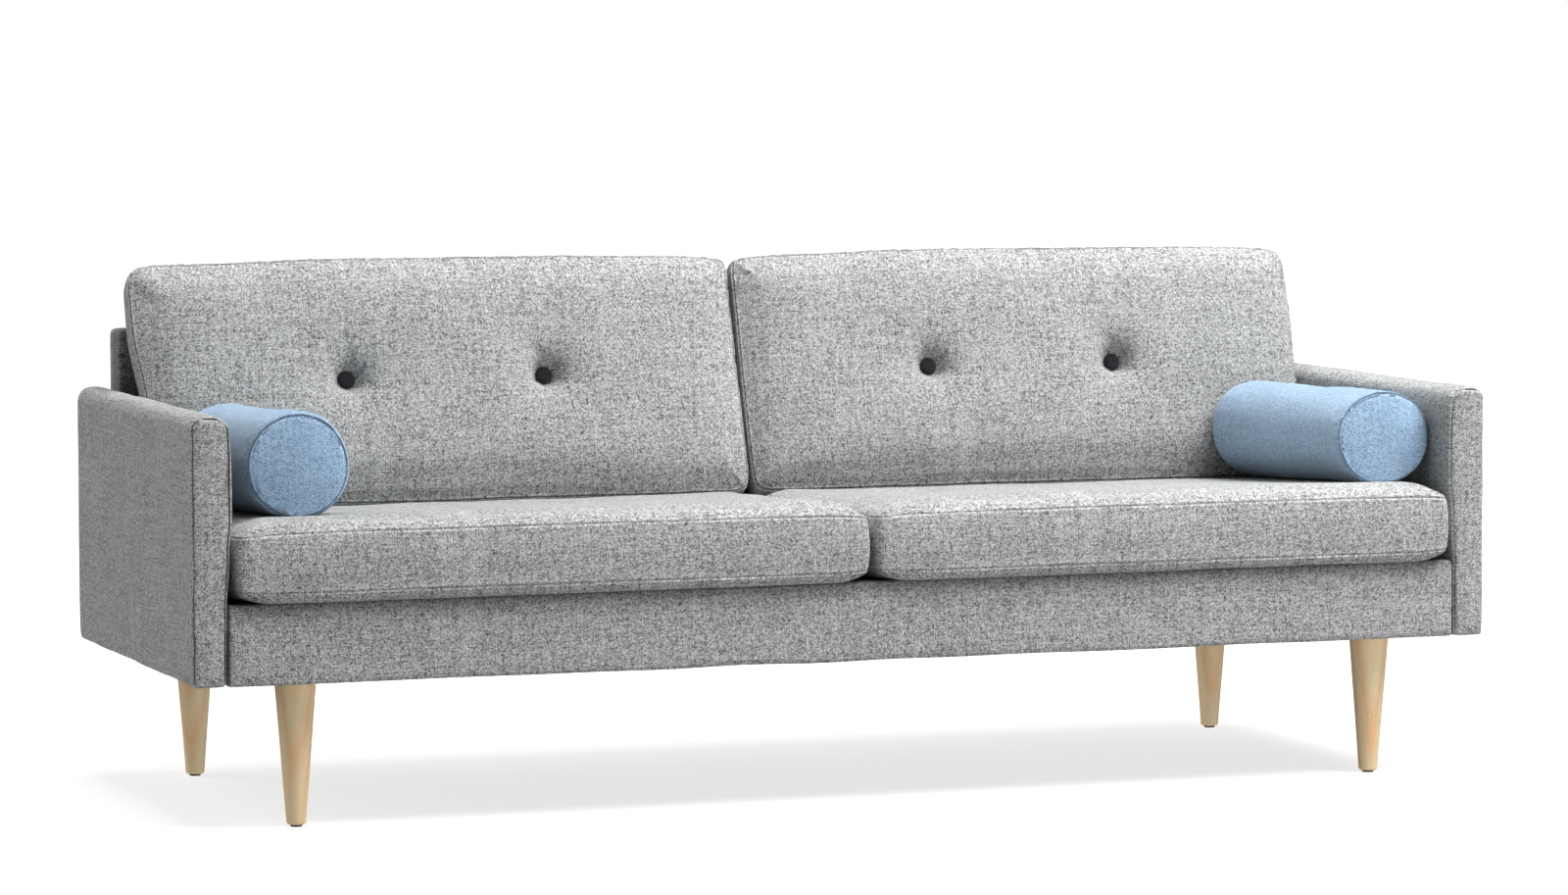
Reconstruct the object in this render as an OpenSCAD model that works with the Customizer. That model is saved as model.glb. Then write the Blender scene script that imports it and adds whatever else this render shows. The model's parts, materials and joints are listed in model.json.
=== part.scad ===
// Two-cushion sofa on turned oak legs, with loose box cushions and a bolster at each arm.
// Origin: on the floor, under the middle of the bounding box. +X right, +Y rear, +Z up.
// Parts are drawn for the right-hand side (+X) and mirrored for the left.

/* [Overall] */
// Width over both arms
sofa_w = 2140; // [1800:10:2400]
// Depth of the arms
arm_depth = 750; // [720:5:820]
// How far the seat cushions stand out in front of the arms
seat_overhang = 20; // [5:1:30]
// Height of the arms above the floor
arm_top = 622; // [600:1:640]
// Height of the back frame above the floor
back_top = 722; // [700:1:760]
// Thickness of an arm, covered
arm_w = 55; // [50:1:60]
// Thickness of the back frame, covered
back_d = 66; // [60:1:72]
// Backward slope of the seat, degrees
seat_pitch = 2; // [0:0.5:4]

/* [Legs] */
// Height of the upholstered body above the floor
leg_h = 222; // [180:1:260]
// Diameter of a leg at its top
leg_top_d = 64; // [50:1:64]
// Diameter of a leg at its foot
leg_foot_d = 30; // [22:1:34]
// Distance of a leg's axis from the sofa's centre plane
leg_x = 896; // [860:1:900]
// Distance of a front leg's axis behind the front of the arms
leg_inset_front = 63; // [63:1:70]
// Distance of a rear leg's axis in front of the rear of the arms
leg_inset_rear = 65; // [65:1:75]

/* [Seat cushions] */
// Thickness of a seat cushion
seat_h = 119; // [100:1:125]
// Depth of a seat cushion, front to rear
seat_d = 696; // [680:1:698]
// Gap between the two cushions of a pair
pair_gap = 1.5; // [1:0.5:4]
// Gap between a cushion and the arm beside it
arm_gap = 8; // [6:1:15]

/* [Back cushions] */
// Height of a back cushion along its face
cushion_h = 396; // [360:1:410]
// Thickness of a back cushion
cushion_t = 82; // [75:1:82]
// Lean of a back cushion from upright, degrees
recline = 17.5; // [15:0.5:19]
// Distance from the front of the arms to the foot of a back cushion's front seam
cushion_foot_y = 521.6; // [515:0.2:521.6]
// Height of the buttons above the foot of the front seam, along the face
button_v = 203; // [180:1:220]
// Distance of the inner buttons from the sofa's centre plane
button_x_inner = 335; // [250:1:420]
// Distance of the outer buttons from the sofa's centre plane
button_x_outer = 667; // [560:1:760]
// Diameter of a covered button
button_d = 29; // [20:1:30]

/* [Bolsters] */
// Diameter of a bolster
bolster_d = 160; // [130:1:160]
// Length of a bolster between its end seams
bolster_l = 440; // [380:1:440]
// Bulge of each end panel
bolster_bulge = 12; // [4:1:14]
// Distance of the bolsters' front seam behind the front of the arms
bolster_front = 66; // [60:1:70]
// Distance of the left bolster's axis from the centre plane
bolster_x_left = 888; // [860:1:910]
// Distance of the right bolster's axis from the centre plane, at its front seam
bolster_x_right = 925; // [900:1:925]
// How far the right bolster is turned, its rear end inwards, degrees
bolster_turn_right = 4.4; // [0:0.2:6]

/* [Upholstery] */
// Thickness of the cover fabric
skin = 2.5; // [2:0.1:3]
// Thickness of the foam wrap on the arms
wrap = 5; // [4:0.5:6]
// Thickness of the elastic webbing
strap_t = 2; // [1.5:0.1:2.5]
// Width of a webbing strap
strap_w = 60; // [50:1:64]
// Straps under each seat cushion
straps_each = 6; // [5:1:6]
// Clearance between pieces that come apart
clear = 0.3; // [0.3:0.1:0.6]

/* [Hidden] */
$fn = 48;

LEFT = -1;
RIGHT = 1;

grey = [0.62, 0.62, 0.61];
blue = [0.45, 0.56, 0.70];
charcoal = [0.12, 0.12, 0.13];
oak = [0.80, 0.66, 0.48];
pine = [0.86, 0.76, 0.58];
steel = [0.70, 0.71, 0.73];
foam_white = [0.93, 0.91, 0.84];
lining = [0.10, 0.10, 0.10];

// front and rear planes of the arms, and the planes of the arms' inner and outer sides
front_y = -(arm_depth + seat_overhang) / 2 + seat_overhang;
rear_y = front_y + arm_depth;
arm_out = sofa_w / 2;
arm_in = arm_out - arm_w;

// timber sizes
board = 24;
fold = 2;
timber_z = leg_h + fold;
facing_t = 8;
arm_round = 14;
cover_turn = 20;
lining_t = 1.5;
post_w = 45;
rail_h = 40;
front_face = 6;
front_skin_top = 5.5;
hardboard = 3;
back_wadding = 3.5;

// the rails' sloping top plane: its height at any y
deck_front_z = leg_h + 117.5;
function deck_z(y) = deck_front_z - (y - front_y) * tan(seat_pitch);

// base timbers, front to rear
rail_front = front_y + front_face;
rail_back = rail_front + board;
rear_timber_y = rear_y - skin - back_wadding;
rear_rail_y = rear_timber_y - board;
post_y = rear_timber_y - post_w;
back_front_y = rear_y - back_d;
rear_rail_top = deck_z(rear_timber_y);
back_foot_z = rear_rail_top + 8;
timber_top = back_top - skin - 6;
back_round = 10;
base_half = arm_in - 1;
back_half = arm_in - 0.5;
post_x = base_half / 2;
post_end_x = back_half - skin - post_w / 2;

// legs and their fittings
leg_y = [front_y + leg_inset_front, rear_y - leg_inset_rear];
glide_h = 3;
glide_d = 18;
pin_r = 1.5;
block_l = 130;
block_d = 100;
block_t = 30;
m8 = 4;
leg_bore = 4.2;
t_nut_r = 5;
flange_r = 11;
insert_r = 6;
insert_l = 20;
washer_t = 1.6;
bolt_z = leg_h + 48;
arm_bolt_y = [front_y + 115, front_y + 365, front_y + 615];
back_bolt_x = [post_x, post_end_x - 12];
arm_bolt_x = base_half - board;

// seat cushions: the plane that they rest on, in front of the deck
seat_front_y = front_y - seat_overhang;
seat_foot_z = deck_z(seat_front_y) + front_skin_top + clear;
seat_x = [pair_gap / 2, arm_in - arm_gap];
seat_round = 28;
function seat_top_z(y) = seat_foot_z + seat_h / cos(seat_pitch) - (y - seat_front_y) * tan(seat_pitch);

// back cushions, in their own frame: x across, y through the cushion, z up its face
crown = 12;
cushion_round = 22;
cushion_x = [pair_gap / 2, arm_in - arm_gap - 5];
cushion_y = front_y + cushion_foot_y;
cushion_z = seat_top_z(cushion_y) + clear;
foot_slope = tan(recline - seat_pitch);
button_x = [button_x_inner, button_x_outer];
button_h = 8;
pocket_d = 14;
pocket_r = 18;
anchor_d = 20;
anchor_h = 4;
anchor_pocket = 6;
twine_r = 1;
core_gap = 0.5;
zip_h = 4;
zip_inset = 60;
zip_gap = 0.2;
cushion_zip_v = 50;

bolster_r = bolster_d / 2;
bolster_y = front_y + bolster_front;
bolster_z = seat_top_z(bolster_y) + (bolster_r + clear) / cos(seat_pitch);

// --- helpers -------------------------------------------------------------

// draws its children on the right, or mirrored on the left
module on_side(side) {
    mirror([side < 0 ? 1 : 0, 0, 0]) children();
}

module both_sides() {
    for (side = [LEFT, RIGHT]) on_side(side) children();
}

// a box given by its limits along each axis
module block(x, y, z) {
    translate([x[0], y[0], z[0]])
        cube([x[1] - x[0], y[1] - y[0], z[1] - z[0]]);
}

// an outline in Y and Z, drawn out along X
module along_x(x, outline) {
    translate([x[0], 0, 0])
        rotate([90, 0, 90])
            linear_extrude(x[1] - x[0]) polygon(outline);
}

// an outline in X and Z, drawn out along Y
module along_y(y, outline) {
    translate([0, y[1], 0])
        rotate([90, 0, 0])
            linear_extrude(y[1] - y[0]) polygon(outline);
}

function arc(centre, r, from, to, steps = 6) =
    [for (i = [0 : steps]) let (a = from + (to - from) * i / steps) centre + r * [cos(a), sin(a)]];

// a rectangle with its two upper corners rounded
function arch(a, b, r) = concat(
    [[a[0], b[0]], [a[1], b[0]]],
    arc([a[1] - r, b[1] - r], r, 0, 90),
    arc([a[0] + r, b[1] - r], r, 90, 180)
);

// a rectangle with all four corners rounded
function rounded(a, b, r) = concat(
    arc([a[1] - r, b[0] + r], r, -90, 0),
    arc([a[1] - r, b[1] - r], r, 0, 90),
    arc([a[0] + r, b[1] - r], r, 90, 180),
    arc([a[0] + r, b[0] + r], r, 180, 270)
);

module rod_x(x, y, z, r) {
    translate([x[0], y, z]) rotate([0, 90, 0]) cylinder(h = x[1] - x[0], r = r);
}

module rod_y(x, y, z, r) {
    translate([x, y[1], z]) rotate([90, 0, 0]) cylinder(h = y[1] - y[0], r = r);
}

module rod_z(x, y, z, r) {
    translate([x, y, z[0]]) cylinder(h = z[1] - z[0], r = r);
}

// places its children at all four legs' axes
module at_legs() {
    both_sides()
        for (y = leg_y) translate([leg_x, y, 0]) children();
}

// --- legs ----------------------------------------------------------------

// a straight taper with a rounded foot, bored for its bolt and glide pin
module turned_leg() {
    foot_r = leg_foot_d / 2;
    round_r = 4;
    outline = concat(
        [[0, glide_h]],
        arc([foot_r - round_r, glide_h + round_r], round_r, -90, 0),
        [[leg_top_d / 2, timber_z], [0, timber_z]]
    );
    color(oak)
        difference() {
            rotate_extrude() polygon(outline);
            rod_z(0, 0, [timber_z - 40, timber_z + 1], leg_bore);
            rod_z(0, 0, [glide_h - 1, glide_h + 11], pin_r + 0.1);
        }
}

module leg(side, y) {
    on_side(side) translate([leg_x, y, 0]) turned_leg();
}

module leg_bolts() {
    color(steel) at_legs() rod_z(0, 0, [timber_z - 38, timber_z + 26], m8);
}

module leg_t_nuts() {
    top = timber_z + block_t;
    color(steel)
        at_legs()
            difference() {
                union() {
                    rod_z(0, 0, [top, top + 1.5], flange_r);
                    rod_z(0, 0, [top - 12, top + 1], t_nut_r);
                }
                rod_z(0, 0, [top - 13, top + 2], leg_bore);
            }
}

module leg_blocks() {
    color(pine)
        both_sides()
            for (i = [0, 1])
                difference() {
                    block([leg_x - block_l / 2, leg_x + block_l / 2],
                          i == 0 ? [rail_back, rail_back + block_d] : [rear_rail_y - block_d, rear_rail_y],
                          [timber_z, timber_z + block_t]);
                    rod_z(leg_x, leg_y[i], [timber_z - 1, timber_z + block_t + 1], t_nut_r + 0.1);
                }
}

module leg_glides() {
    color(charcoal)
        at_legs() {
            rod_z(0, 0, [0, glide_h], glide_d / 2);
            rod_z(0, 0, [glide_h - 0.5, glide_h + 10], pin_r);
        }
}

// --- base ----------------------------------------------------------------

module front_rail() {
    color(pine)
        along_x([-base_half, base_half], [
            [rail_front, timber_z], [rail_back, timber_z],
            [rail_back, deck_z(rail_back)], [rail_front, deck_z(rail_front)],
        ]);
}

module rear_rail() {
    color(pine)
        difference() {
            block([-base_half, base_half], [rear_rail_y, rear_timber_y], [timber_z, rear_rail_top]);
            both_sides()
                for (x = back_bolt_x)
                    rod_y(x, [rear_rail_y - 1, rear_rail_y + insert_l], bolt_z, insert_r + 0.1);
        }
}

// the outline of a rail that runs front to rear, a little below the deck
function cross_rail(drop) = [
    [rail_back, timber_z], [post_y, timber_z],
    [post_y, deck_z(post_y) - drop], [rail_back, deck_z(rail_back) - drop],
];

module end_rail(side) {
    color(pine)
        on_side(side)
            difference() {
                along_x([base_half - board, base_half], cross_rail(0));
                for (y = arm_bolt_y) rod_x([base_half - board - 1, base_half + 1], y, bolt_z, m8 + 0.5);
            }
}

module centre_rail() {
    color(pine) along_x([-board / 2, board / 2], cross_rail(25));
}

// elastic straps from the front rail to the rear rail
module webbing_straps() {
    pitch = base_half / straps_each;
    y = [rail_front + 1, rear_timber_y - 1];
    color(charcoal)
        both_sides()
            for (i = [0 : straps_each - 1])
                along_x([(i + 0.5) * pitch - strap_w / 2, (i + 0.5) * pitch + strap_w / 2], [
                    [y[0], deck_z(y[0])], [y[1], deck_z(y[1])],
                    [y[1], deck_z(y[1]) + strap_t], [y[0], deck_z(y[0]) + strap_t],
                ]);
}

module deck_pad() {
    y = [rail_back + 0.5, back_front_y - 0.5];
    color(lining)
        along_x([-base_half, base_half], [
            [y[0], deck_z(y[0]) + strap_t], [y[1], deck_z(y[1]) + strap_t],
            [y[1], deck_z(y[1]) + front_skin_top], [y[0], deck_z(y[0]) + front_skin_top],
        ]);
}

// fabric over thin foam, round the front, top and lower edge of the front rail
module front_rail_cover() {
    color(grey)
        along_x([-base_half, base_half], [
            [front_y, leg_h], [front_y + cover_turn, leg_h],
            [front_y + cover_turn, timber_z], [rail_front, timber_z],
            [rail_front, deck_z(rail_front) + strap_t], [rail_back, deck_z(rail_back) + strap_t],
            [rail_back, deck_z(rail_back) + front_skin_top], [front_y, deck_z(front_y) + front_skin_top],
        ]);
}

module dust_cover() {
    color(lining)
        difference() {
            block([-base_half + 4, base_half - 4],
                  [front_y + cover_turn + 0.5, rear_y - 10],
                  [timber_z - lining_t, timber_z]);
            at_legs() rod_z(0, 0, [leg_h - 1, timber_z + 1], leg_top_d / 2 + 1);
        }
}

// staple crowns that hold the dust cover to the rails
module underside_staples() {
    crown_l = 10;
    wire = 0.7;
    pitch = 130;
    z = [timber_z - lining_t - wire, timber_z - lining_t];
    color(steel)
        both_sides() {
            for (x = [70 : pitch : base_half - 60], y = [rail_back - 8, rear_timber_y - 14])
                block([x, x + crown_l], [y, y + wire], z);
            for (y = [rail_back + 90 : pitch : rear_rail_y - 60])
                block([base_half - 14, base_half - 14 + wire], [y, y + crown_l], z);
        }
}

// --- arms ----------------------------------------------------------------

// the arm's outline from the front, drawn in by t on its sides and top
function arm_outline(t, foot, r) = arch([arm_in + t, arm_out - t], [foot, arm_top - t], r);

// glued timber frame: a post at each end, two studs, a top and a bottom rail
module arm_frame(side) {
    t = skin + wrap;
    x = [arm_in + t, arm_out - t];
    y = [front_y + facing_t, rear_y - t];
    bay = (y[1] - y[0] - 2 * post_w - 2 * rail_h) / 3;
    color(pine)
        on_side(side)
            difference() {
                block(x, y, [timber_z, arm_top - t]);
                for (i = [0 : 2])
                    block([x[0] - 1, x[1] + 1],
                          [y[0] + post_w + i * (bay + rail_h), y[0] + post_w + i * (bay + rail_h) + bay],
                          [timber_z + 70, arm_top - t - rail_h]);
                for (v = arm_bolt_y) rod_x([x[0] - 1, x[0] + insert_l], v, bolt_z, insert_r + 0.1);
            }
}

module arm_padding(side) {
    t = skin + wrap;
    color(foam_white)
        on_side(side)
            difference() {
                along_y([front_y + facing_t, rear_y - skin], arm_outline(skin, timber_z, arm_round - skin));
                block([arm_in + t, arm_out - t], [front_y, rear_y - t], [timber_z - 1, arm_top - t]);
                for (y = arm_bolt_y) rod_x([arm_in, arm_in + t + 1], y, bolt_z, m8 + 0.5);
            }
}

module arm_cover(side) {
    color(grey)
        on_side(side)
            difference() {
                along_y([front_y + facing_t, rear_y], arm_outline(0, leg_h, arm_round));
                along_y([front_y, rear_y - skin], arm_outline(skin, timber_z, arm_round - skin));
                for (y = arm_bolt_y) rod_x([arm_in - 1, arm_in + skin + 1], y, bolt_z, m8 + 0.5);
            }
}

module arm_front_panel(side) {
    color(grey)
        on_side(side) along_y([front_y, front_y + facing_t], arm_outline(0, leg_h, arm_round));
}

// --- fastenings ----------------------------------------------------------

// a hexagon-head bolt along +Z, its head's underside at the origin
module hex_bolt(length) {
    head_h = 5.3;
    translate([0, 0, -head_h]) cylinder(h = head_h, r = 7.5, $fn = 6);
    rod_z(0, 0, [-0.5, length], m8);
}

// places its children at the arm bolts, +Z pointing outwards along the bolt
module at_arm_bolts(x) {
    both_sides()
        for (y = arm_bolt_y) translate([x, y, bolt_z]) rotate([0, 90, 0]) children();
}

// places its children at the back bolts, +Z pointing rearwards along the bolt
module at_back_bolts(y) {
    both_sides()
        for (x = back_bolt_x) translate([x, y, bolt_z]) rotate([-90, 0, 0]) children();
}

module arm_bolts() {
    color(steel) at_arm_bolts(arm_bolt_x - washer_t) hex_bolt(washer_t + board + skin + wrap + 19);
}

module back_bolts() {
    color(steel) at_back_bolts(post_y - washer_t) hex_bolt(washer_t + post_w - board + 18);
}

module bolt_washers() {
    color(steel) {
        at_arm_bolts(arm_bolt_x - washer_t) washer();
        at_back_bolts(post_y - washer_t) washer();
    }
}

module washer() {
    difference() {
        cylinder(h = washer_t, r = 10);
        translate([0, 0, -1]) cylinder(h = washer_t + 2, r = m8 + 0.2);
    }
}

module insert_nuts() {
    color(steel) {
        at_arm_bolts(arm_in + skin + wrap) insert_nut();
        at_back_bolts(rear_rail_y) insert_nut();
    }
}

module insert_nut() {
    difference() {
        cylinder(h = insert_l - 0.2, r = insert_r);
        translate([0, 0, -1]) cylinder(h = insert_l + 2, r = m8 + 0.1);
    }
}

// --- back frame ----------------------------------------------------------

module back_top_rail() {
    color(pine)
        block([-back_half + skin, back_half - skin],
              [post_y, rear_timber_y],
              [timber_top - rail_h, timber_top]);
}

// five posts: each stands on the rear rail and laps down its inner face
module back_posts() {
    lap = [
        [post_y, timber_z + 2], [rear_rail_y, timber_z + 2], [rear_rail_y, rear_rail_top + strap_t],
        [rear_timber_y, rear_rail_top + strap_t], [rear_timber_y, timber_top - rail_h],
        [post_y, timber_top - rail_h],
    ];
    color(pine)
        difference() {
            for (x = [-post_end_x, -post_x, 0, post_x, post_end_x])
                along_x([x - post_w / 2, x + post_w / 2], lap);
            both_sides()
                for (x = back_bolt_x) rod_y(x, [post_y - 1, rear_rail_y + 1], bolt_z, m8 + 0.5);
        }
}

module back_board() {
    color([0.45, 0.33, 0.22])
        block([-back_half + skin, back_half - skin],
              [post_y - hardboard, post_y],
              [back_foot_z, timber_top]);
}

// the back frame's outline from the side: a strip of its rear face runs down to the base
function back_outline(y, top, foot, r, strip) = concat(
    [[y[0], back_foot_z], [y[1] - strip, back_foot_z], [y[1] - strip, foot], [y[1], foot]],
    arc([y[1] - r, top - r], r, 0, 90),
    arc([y[0] + r, top - r], r, 90, 180)
);

module back_padding() {
    y = [back_front_y + skin, rear_y - skin];
    color(foam_white)
        difference() {
            along_x([-back_half + skin, back_half - skin],
                    back_outline(y, back_top - skin, timber_z, back_round - skin, back_wadding));
            block([-back_half, back_half], [post_y - hardboard, rear_timber_y], [timber_z - 1, timber_top]);
        }
}

module back_cover() {
    y = [back_front_y, rear_y];
    inner = arch([y[0] + skin, y[1] - skin], [back_foot_z - 1, back_top - skin], back_round - skin);
    color(grey)
        difference() {
            along_x([-back_half, back_half], back_outline(y, back_top, leg_h, back_round, skin));
            along_x([-back_half + skin, back_half - skin], inner);
        }
}

// --- seat cushions -------------------------------------------------------

module seat_place(side) {
    on_side(side)
        translate([0, seat_front_y, seat_foot_z]) rotate([-seat_pitch, 0, 0]) children();
}

// the cushion's box, drawn in by t on every side, with rounded upright edges
module seat_box(t) {
    translate([0, 0, t])
        linear_extrude(seat_h - 2 * t)
            polygon(rounded([seat_x[0] + t, seat_x[1] - t], [t, seat_d - t], seat_round - t));
}

// the zip's slot in the rear border, or with a gap the tape that fills it
module seat_zip_bar(gap) {
    through = gap == 0 ? 1 : 0;
    block([seat_x[0] + zip_inset + gap, seat_x[1] - zip_inset - gap],
          [seat_d - skin - through, seat_d + through],
          [seat_h / 2 - zip_h / 2 + gap, seat_h / 2 + zip_h / 2 - gap]);
}

module seat_cover(side) {
    color(grey)
        seat_place(side)
            difference() {
                seat_box(0);
                seat_box(skin);
                seat_zip_bar(0);
            }
}

module seat_foam(side) {
    color(foam_white) seat_place(side) seat_box(skin + core_gap);
}

module seat_zip(side) {
    color(charcoal) seat_place(side) seat_zip_bar(zip_gap);
}

// --- back cushions -------------------------------------------------------

module cushion_place(side) {
    on_side(side)
        translate([0, cushion_y, cushion_z]) rotate([-recline, 0, 0]) children();
}

// the cushion's section, drawn in by t: its foot lies along the seat cushion
function cushion_section(t) =
    let (y = [t - crown, cushion_t - crown - t], lift = t / cos(recline - seat_pitch)) [
        [y[0], y[0] * foot_slope + lift], [y[1], y[1] * foot_slope + lift],
        [y[1], cushion_h - t], [y[0], cushion_h - t],
    ];

module cushion_box(t) {
    intersection() {
        along_x([cushion_x[0] + t, cushion_x[1] - t], cushion_section(t));
        along_y([-crown - 1, cushion_t],
                arch([cushion_x[0] + t, cushion_x[1] - t], [-30, cushion_h - t], cushion_round - t));
    }
}

// the pocket that each button is drawn into, and the one behind it
module button_pockets(front_r, rear_r, floor) {
    for (x = button_x) {
        rod_y(x, [-crown - 1, -crown + pocket_d + floor], button_v, front_r);
        rod_y(x, [cushion_t - crown - anchor_pocket - floor, cushion_t - crown + 1], button_v, rear_r);
    }
}

module twine_holes() {
    for (x = button_x) rod_y(x, [-crown - 2, cushion_t + 2], button_v, twine_r + 0.5);
}

// the zip's slot low on the rear face, or with a gap the tape that fills it
module cushion_zip_bar(gap) {
    through = gap == 0 ? 1 : 0;
    rear = cushion_t - crown;
    block([cushion_x[0] + zip_inset + gap, cushion_x[1] - zip_inset - gap],
          [rear - skin - through, rear + through],
          [cushion_zip_v + gap, cushion_zip_v + zip_h - gap]);
}

module back_cushion_cover(side) {
    color(grey)
        cushion_place(side)
            difference() {
                cushion_box(0);
                difference() {
                    cushion_box(skin);
                    button_pockets(pocket_r + skin, anchor_d / 2 + 1 + skin, skin);
                }
                button_pockets(pocket_r, anchor_d / 2 + 1, 0);
                twine_holes();
                cushion_zip_bar(0);
            }
}

module back_cushion_foam(side) {
    t = skin + core_gap;
    color(foam_white)
        cushion_place(side)
            difference() {
                cushion_box(t);
                button_pockets(pocket_r + t, anchor_d / 2 + 1 + t, t);
                twine_holes();
            }
}

module back_cushion_zip(side) {
    color(charcoal) cushion_place(side) cushion_zip_bar(zip_gap);
}

// a domed disc whose flat side faces +Y
module covered_button(d, h) {
    r = d / 2;
    outline = concat([[0, 0]], [for (i = [0 : 8]) let (a = i * 90 / 8) [r * cos(a), h * sin(a)]]);
    rotate([90, 0, 0]) rotate_extrude() polygon(outline);
}

module back_buttons(side) {
    color(charcoal)
        cushion_place(side)
            for (x = button_x)
                translate([x, pocket_d - crown, button_v]) covered_button(button_d, button_h);
}

module anchor_buttons(side) {
    rear = cushion_t - crown - anchor_pocket;
    color(charcoal)
        cushion_place(side)
            for (x = button_x)
                translate([x, rear, button_v]) rotate([0, 0, 180]) covered_button(anchor_d, anchor_h);
}

module tufting_twine(side) {
    color(foam_white)
        cushion_place(side)
            for (x = button_x)
                rod_y(x, [pocket_d - crown, cushion_t - crown - anchor_pocket], button_v, twine_r);
}

// --- bolsters ------------------------------------------------------------

module bolster_place(side) {
    x = side < 0 ? -bolster_x_left : bolster_x_right;
    turn = side < 0 ? 0 : bolster_turn_right;
    translate([x, bolster_y, bolster_z]) rotate([-seat_pitch, 0, turn]) children();
}

module bolster_barrel(side) {
    color(blue)
        bolster_place(side)
            difference() {
                rod_y(0, [0, bolster_l], 0, bolster_r);
                rod_y(0, [-1, bolster_l + 1], 0, bolster_r - skin);
            }
}

// a domed end panel, its rim on the plane y = 0 and its bulge towards -Y
module bolster_end() {
    rim = 1.5;
    outline = concat(
        [[0, 0], [bolster_r, 0]],
        [for (i = [0 : 8]) let (s = 1 - i / 8)
            [bolster_r * s, rim + (bolster_bulge - rim) * (1 - s * s)]]
    );
    rotate([90, 0, 0]) rotate_extrude() polygon(outline);
}

module bolster_ends(side) {
    color(blue)
        bolster_place(side) {
            bolster_end();
            translate([0, bolster_l, 0]) rotate([0, 0, 180]) bolster_end();
        }
}

module bolster_filling(side) {
    color(foam_white) bolster_place(side) rod_y(0, [0.5, bolster_l - 0.5], 0, bolster_r - skin - core_gap);
}

// --- drawing -------------------------------------------------------------

leg(LEFT, leg_y[0]);  // leg_front_left
leg(RIGHT, leg_y[0]);  // leg_front_right
leg(LEFT, leg_y[1]);  // leg_rear_left
leg(RIGHT, leg_y[1]);  // leg_rear_right
leg_bolts();
leg_t_nuts();
leg_blocks();
leg_glides();
front_rail();
rear_rail();
end_rail(LEFT);  // end_rail_left
end_rail(RIGHT);  // end_rail_right
centre_rail();
webbing_straps();
deck_pad();
front_rail_cover();
dust_cover();
underside_staples();
arm_frame(LEFT);  // arm_frame_left
arm_frame(RIGHT);  // arm_frame_right
arm_padding(LEFT);  // arm_padding_left
arm_padding(RIGHT);  // arm_padding_right
arm_cover(LEFT);  // arm_cover_left
arm_cover(RIGHT);  // arm_cover_right
arm_front_panel(LEFT);  // arm_front_panel_left
arm_front_panel(RIGHT);  // arm_front_panel_right
arm_bolts();
back_bolts();
bolt_washers();
insert_nuts();
back_top_rail();
back_posts();
back_board();
back_padding();
back_cover();
seat_cover(LEFT);  // seat_cover_left
seat_cover(RIGHT);  // seat_cover_right
seat_foam(LEFT);  // seat_foam_left
seat_foam(RIGHT);  // seat_foam_right
seat_zip(LEFT);  // seat_zip_left
seat_zip(RIGHT);  // seat_zip_right
back_cushion_cover(LEFT);  // back_cushion_cover_left
back_cushion_cover(RIGHT);  // back_cushion_cover_right
back_cushion_foam(LEFT);  // back_cushion_foam_left
back_cushion_foam(RIGHT);  // back_cushion_foam_right
back_cushion_zip(LEFT);  // back_cushion_zip_left
back_cushion_zip(RIGHT);  // back_cushion_zip_right
back_buttons(LEFT);  // back_buttons_left
back_buttons(RIGHT);  // back_buttons_right
anchor_buttons(LEFT);  // anchor_buttons_left
anchor_buttons(RIGHT);  // anchor_buttons_right
tufting_twine(LEFT);  // tufting_twine_left
tufting_twine(RIGHT);  // tufting_twine_right
bolster_barrel(LEFT);  // bolster_barrel_left
bolster_barrel(RIGHT);  // bolster_barrel_right
bolster_ends(LEFT);  // bolster_ends_left
bolster_ends(RIGHT);  // bolster_ends_right
bolster_filling(LEFT);  // bolster_filling_left
bolster_filling(RIGHT);  // bolster_filling_right
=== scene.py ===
"""Looks of a two-cushion sofa on oak legs: simulated cushions, woven upholstery and a soft white studio."""

import json
import math

import bmesh
import bpy
import numpy as np
from mathutils import Matrix, Vector
from mathutils.kdtree import KDTree


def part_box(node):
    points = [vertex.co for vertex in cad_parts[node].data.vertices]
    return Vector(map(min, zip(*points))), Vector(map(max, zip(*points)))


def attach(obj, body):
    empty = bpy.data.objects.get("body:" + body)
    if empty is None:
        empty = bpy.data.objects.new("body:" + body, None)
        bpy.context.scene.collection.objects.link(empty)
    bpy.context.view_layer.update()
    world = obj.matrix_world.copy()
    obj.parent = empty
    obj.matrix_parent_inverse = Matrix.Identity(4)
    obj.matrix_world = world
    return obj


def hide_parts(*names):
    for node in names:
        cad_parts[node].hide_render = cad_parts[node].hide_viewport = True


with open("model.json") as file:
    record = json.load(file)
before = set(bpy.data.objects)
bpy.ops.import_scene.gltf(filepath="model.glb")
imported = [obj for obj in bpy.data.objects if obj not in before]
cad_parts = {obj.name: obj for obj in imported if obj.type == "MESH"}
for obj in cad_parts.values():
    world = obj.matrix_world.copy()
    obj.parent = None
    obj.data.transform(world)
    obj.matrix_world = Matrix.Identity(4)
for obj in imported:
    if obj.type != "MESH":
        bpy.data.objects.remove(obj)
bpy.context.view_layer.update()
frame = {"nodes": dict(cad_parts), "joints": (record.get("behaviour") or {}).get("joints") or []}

MM = 0.001
OUTWARD = {"left": -1, "right": 1}  # which way along X each side faces
NODES = frame["nodes"]
JOINT_AXES = {joint["name"]: Vector(joint["axis"]) for joint in frame["joints"]}
X_AXIS = Vector((1, 0, 0))
UPRIGHT = Matrix.Identity(3)

# how finely panels are meshed before subdivision
CELL = 12 * MM
FINE_CELL = 9 * MM


# --- camera -----------------------------------------------

CAMERA_PLACE = (-3.13694, -8.60062, 1.21731)
CAMERA_TURN = math.radians(20.04)
CAMERA_DIP = math.radians(4.30)
CAMERA_ROLL = math.radians(0.067)
CAMERA_LENS = 131.0


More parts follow.
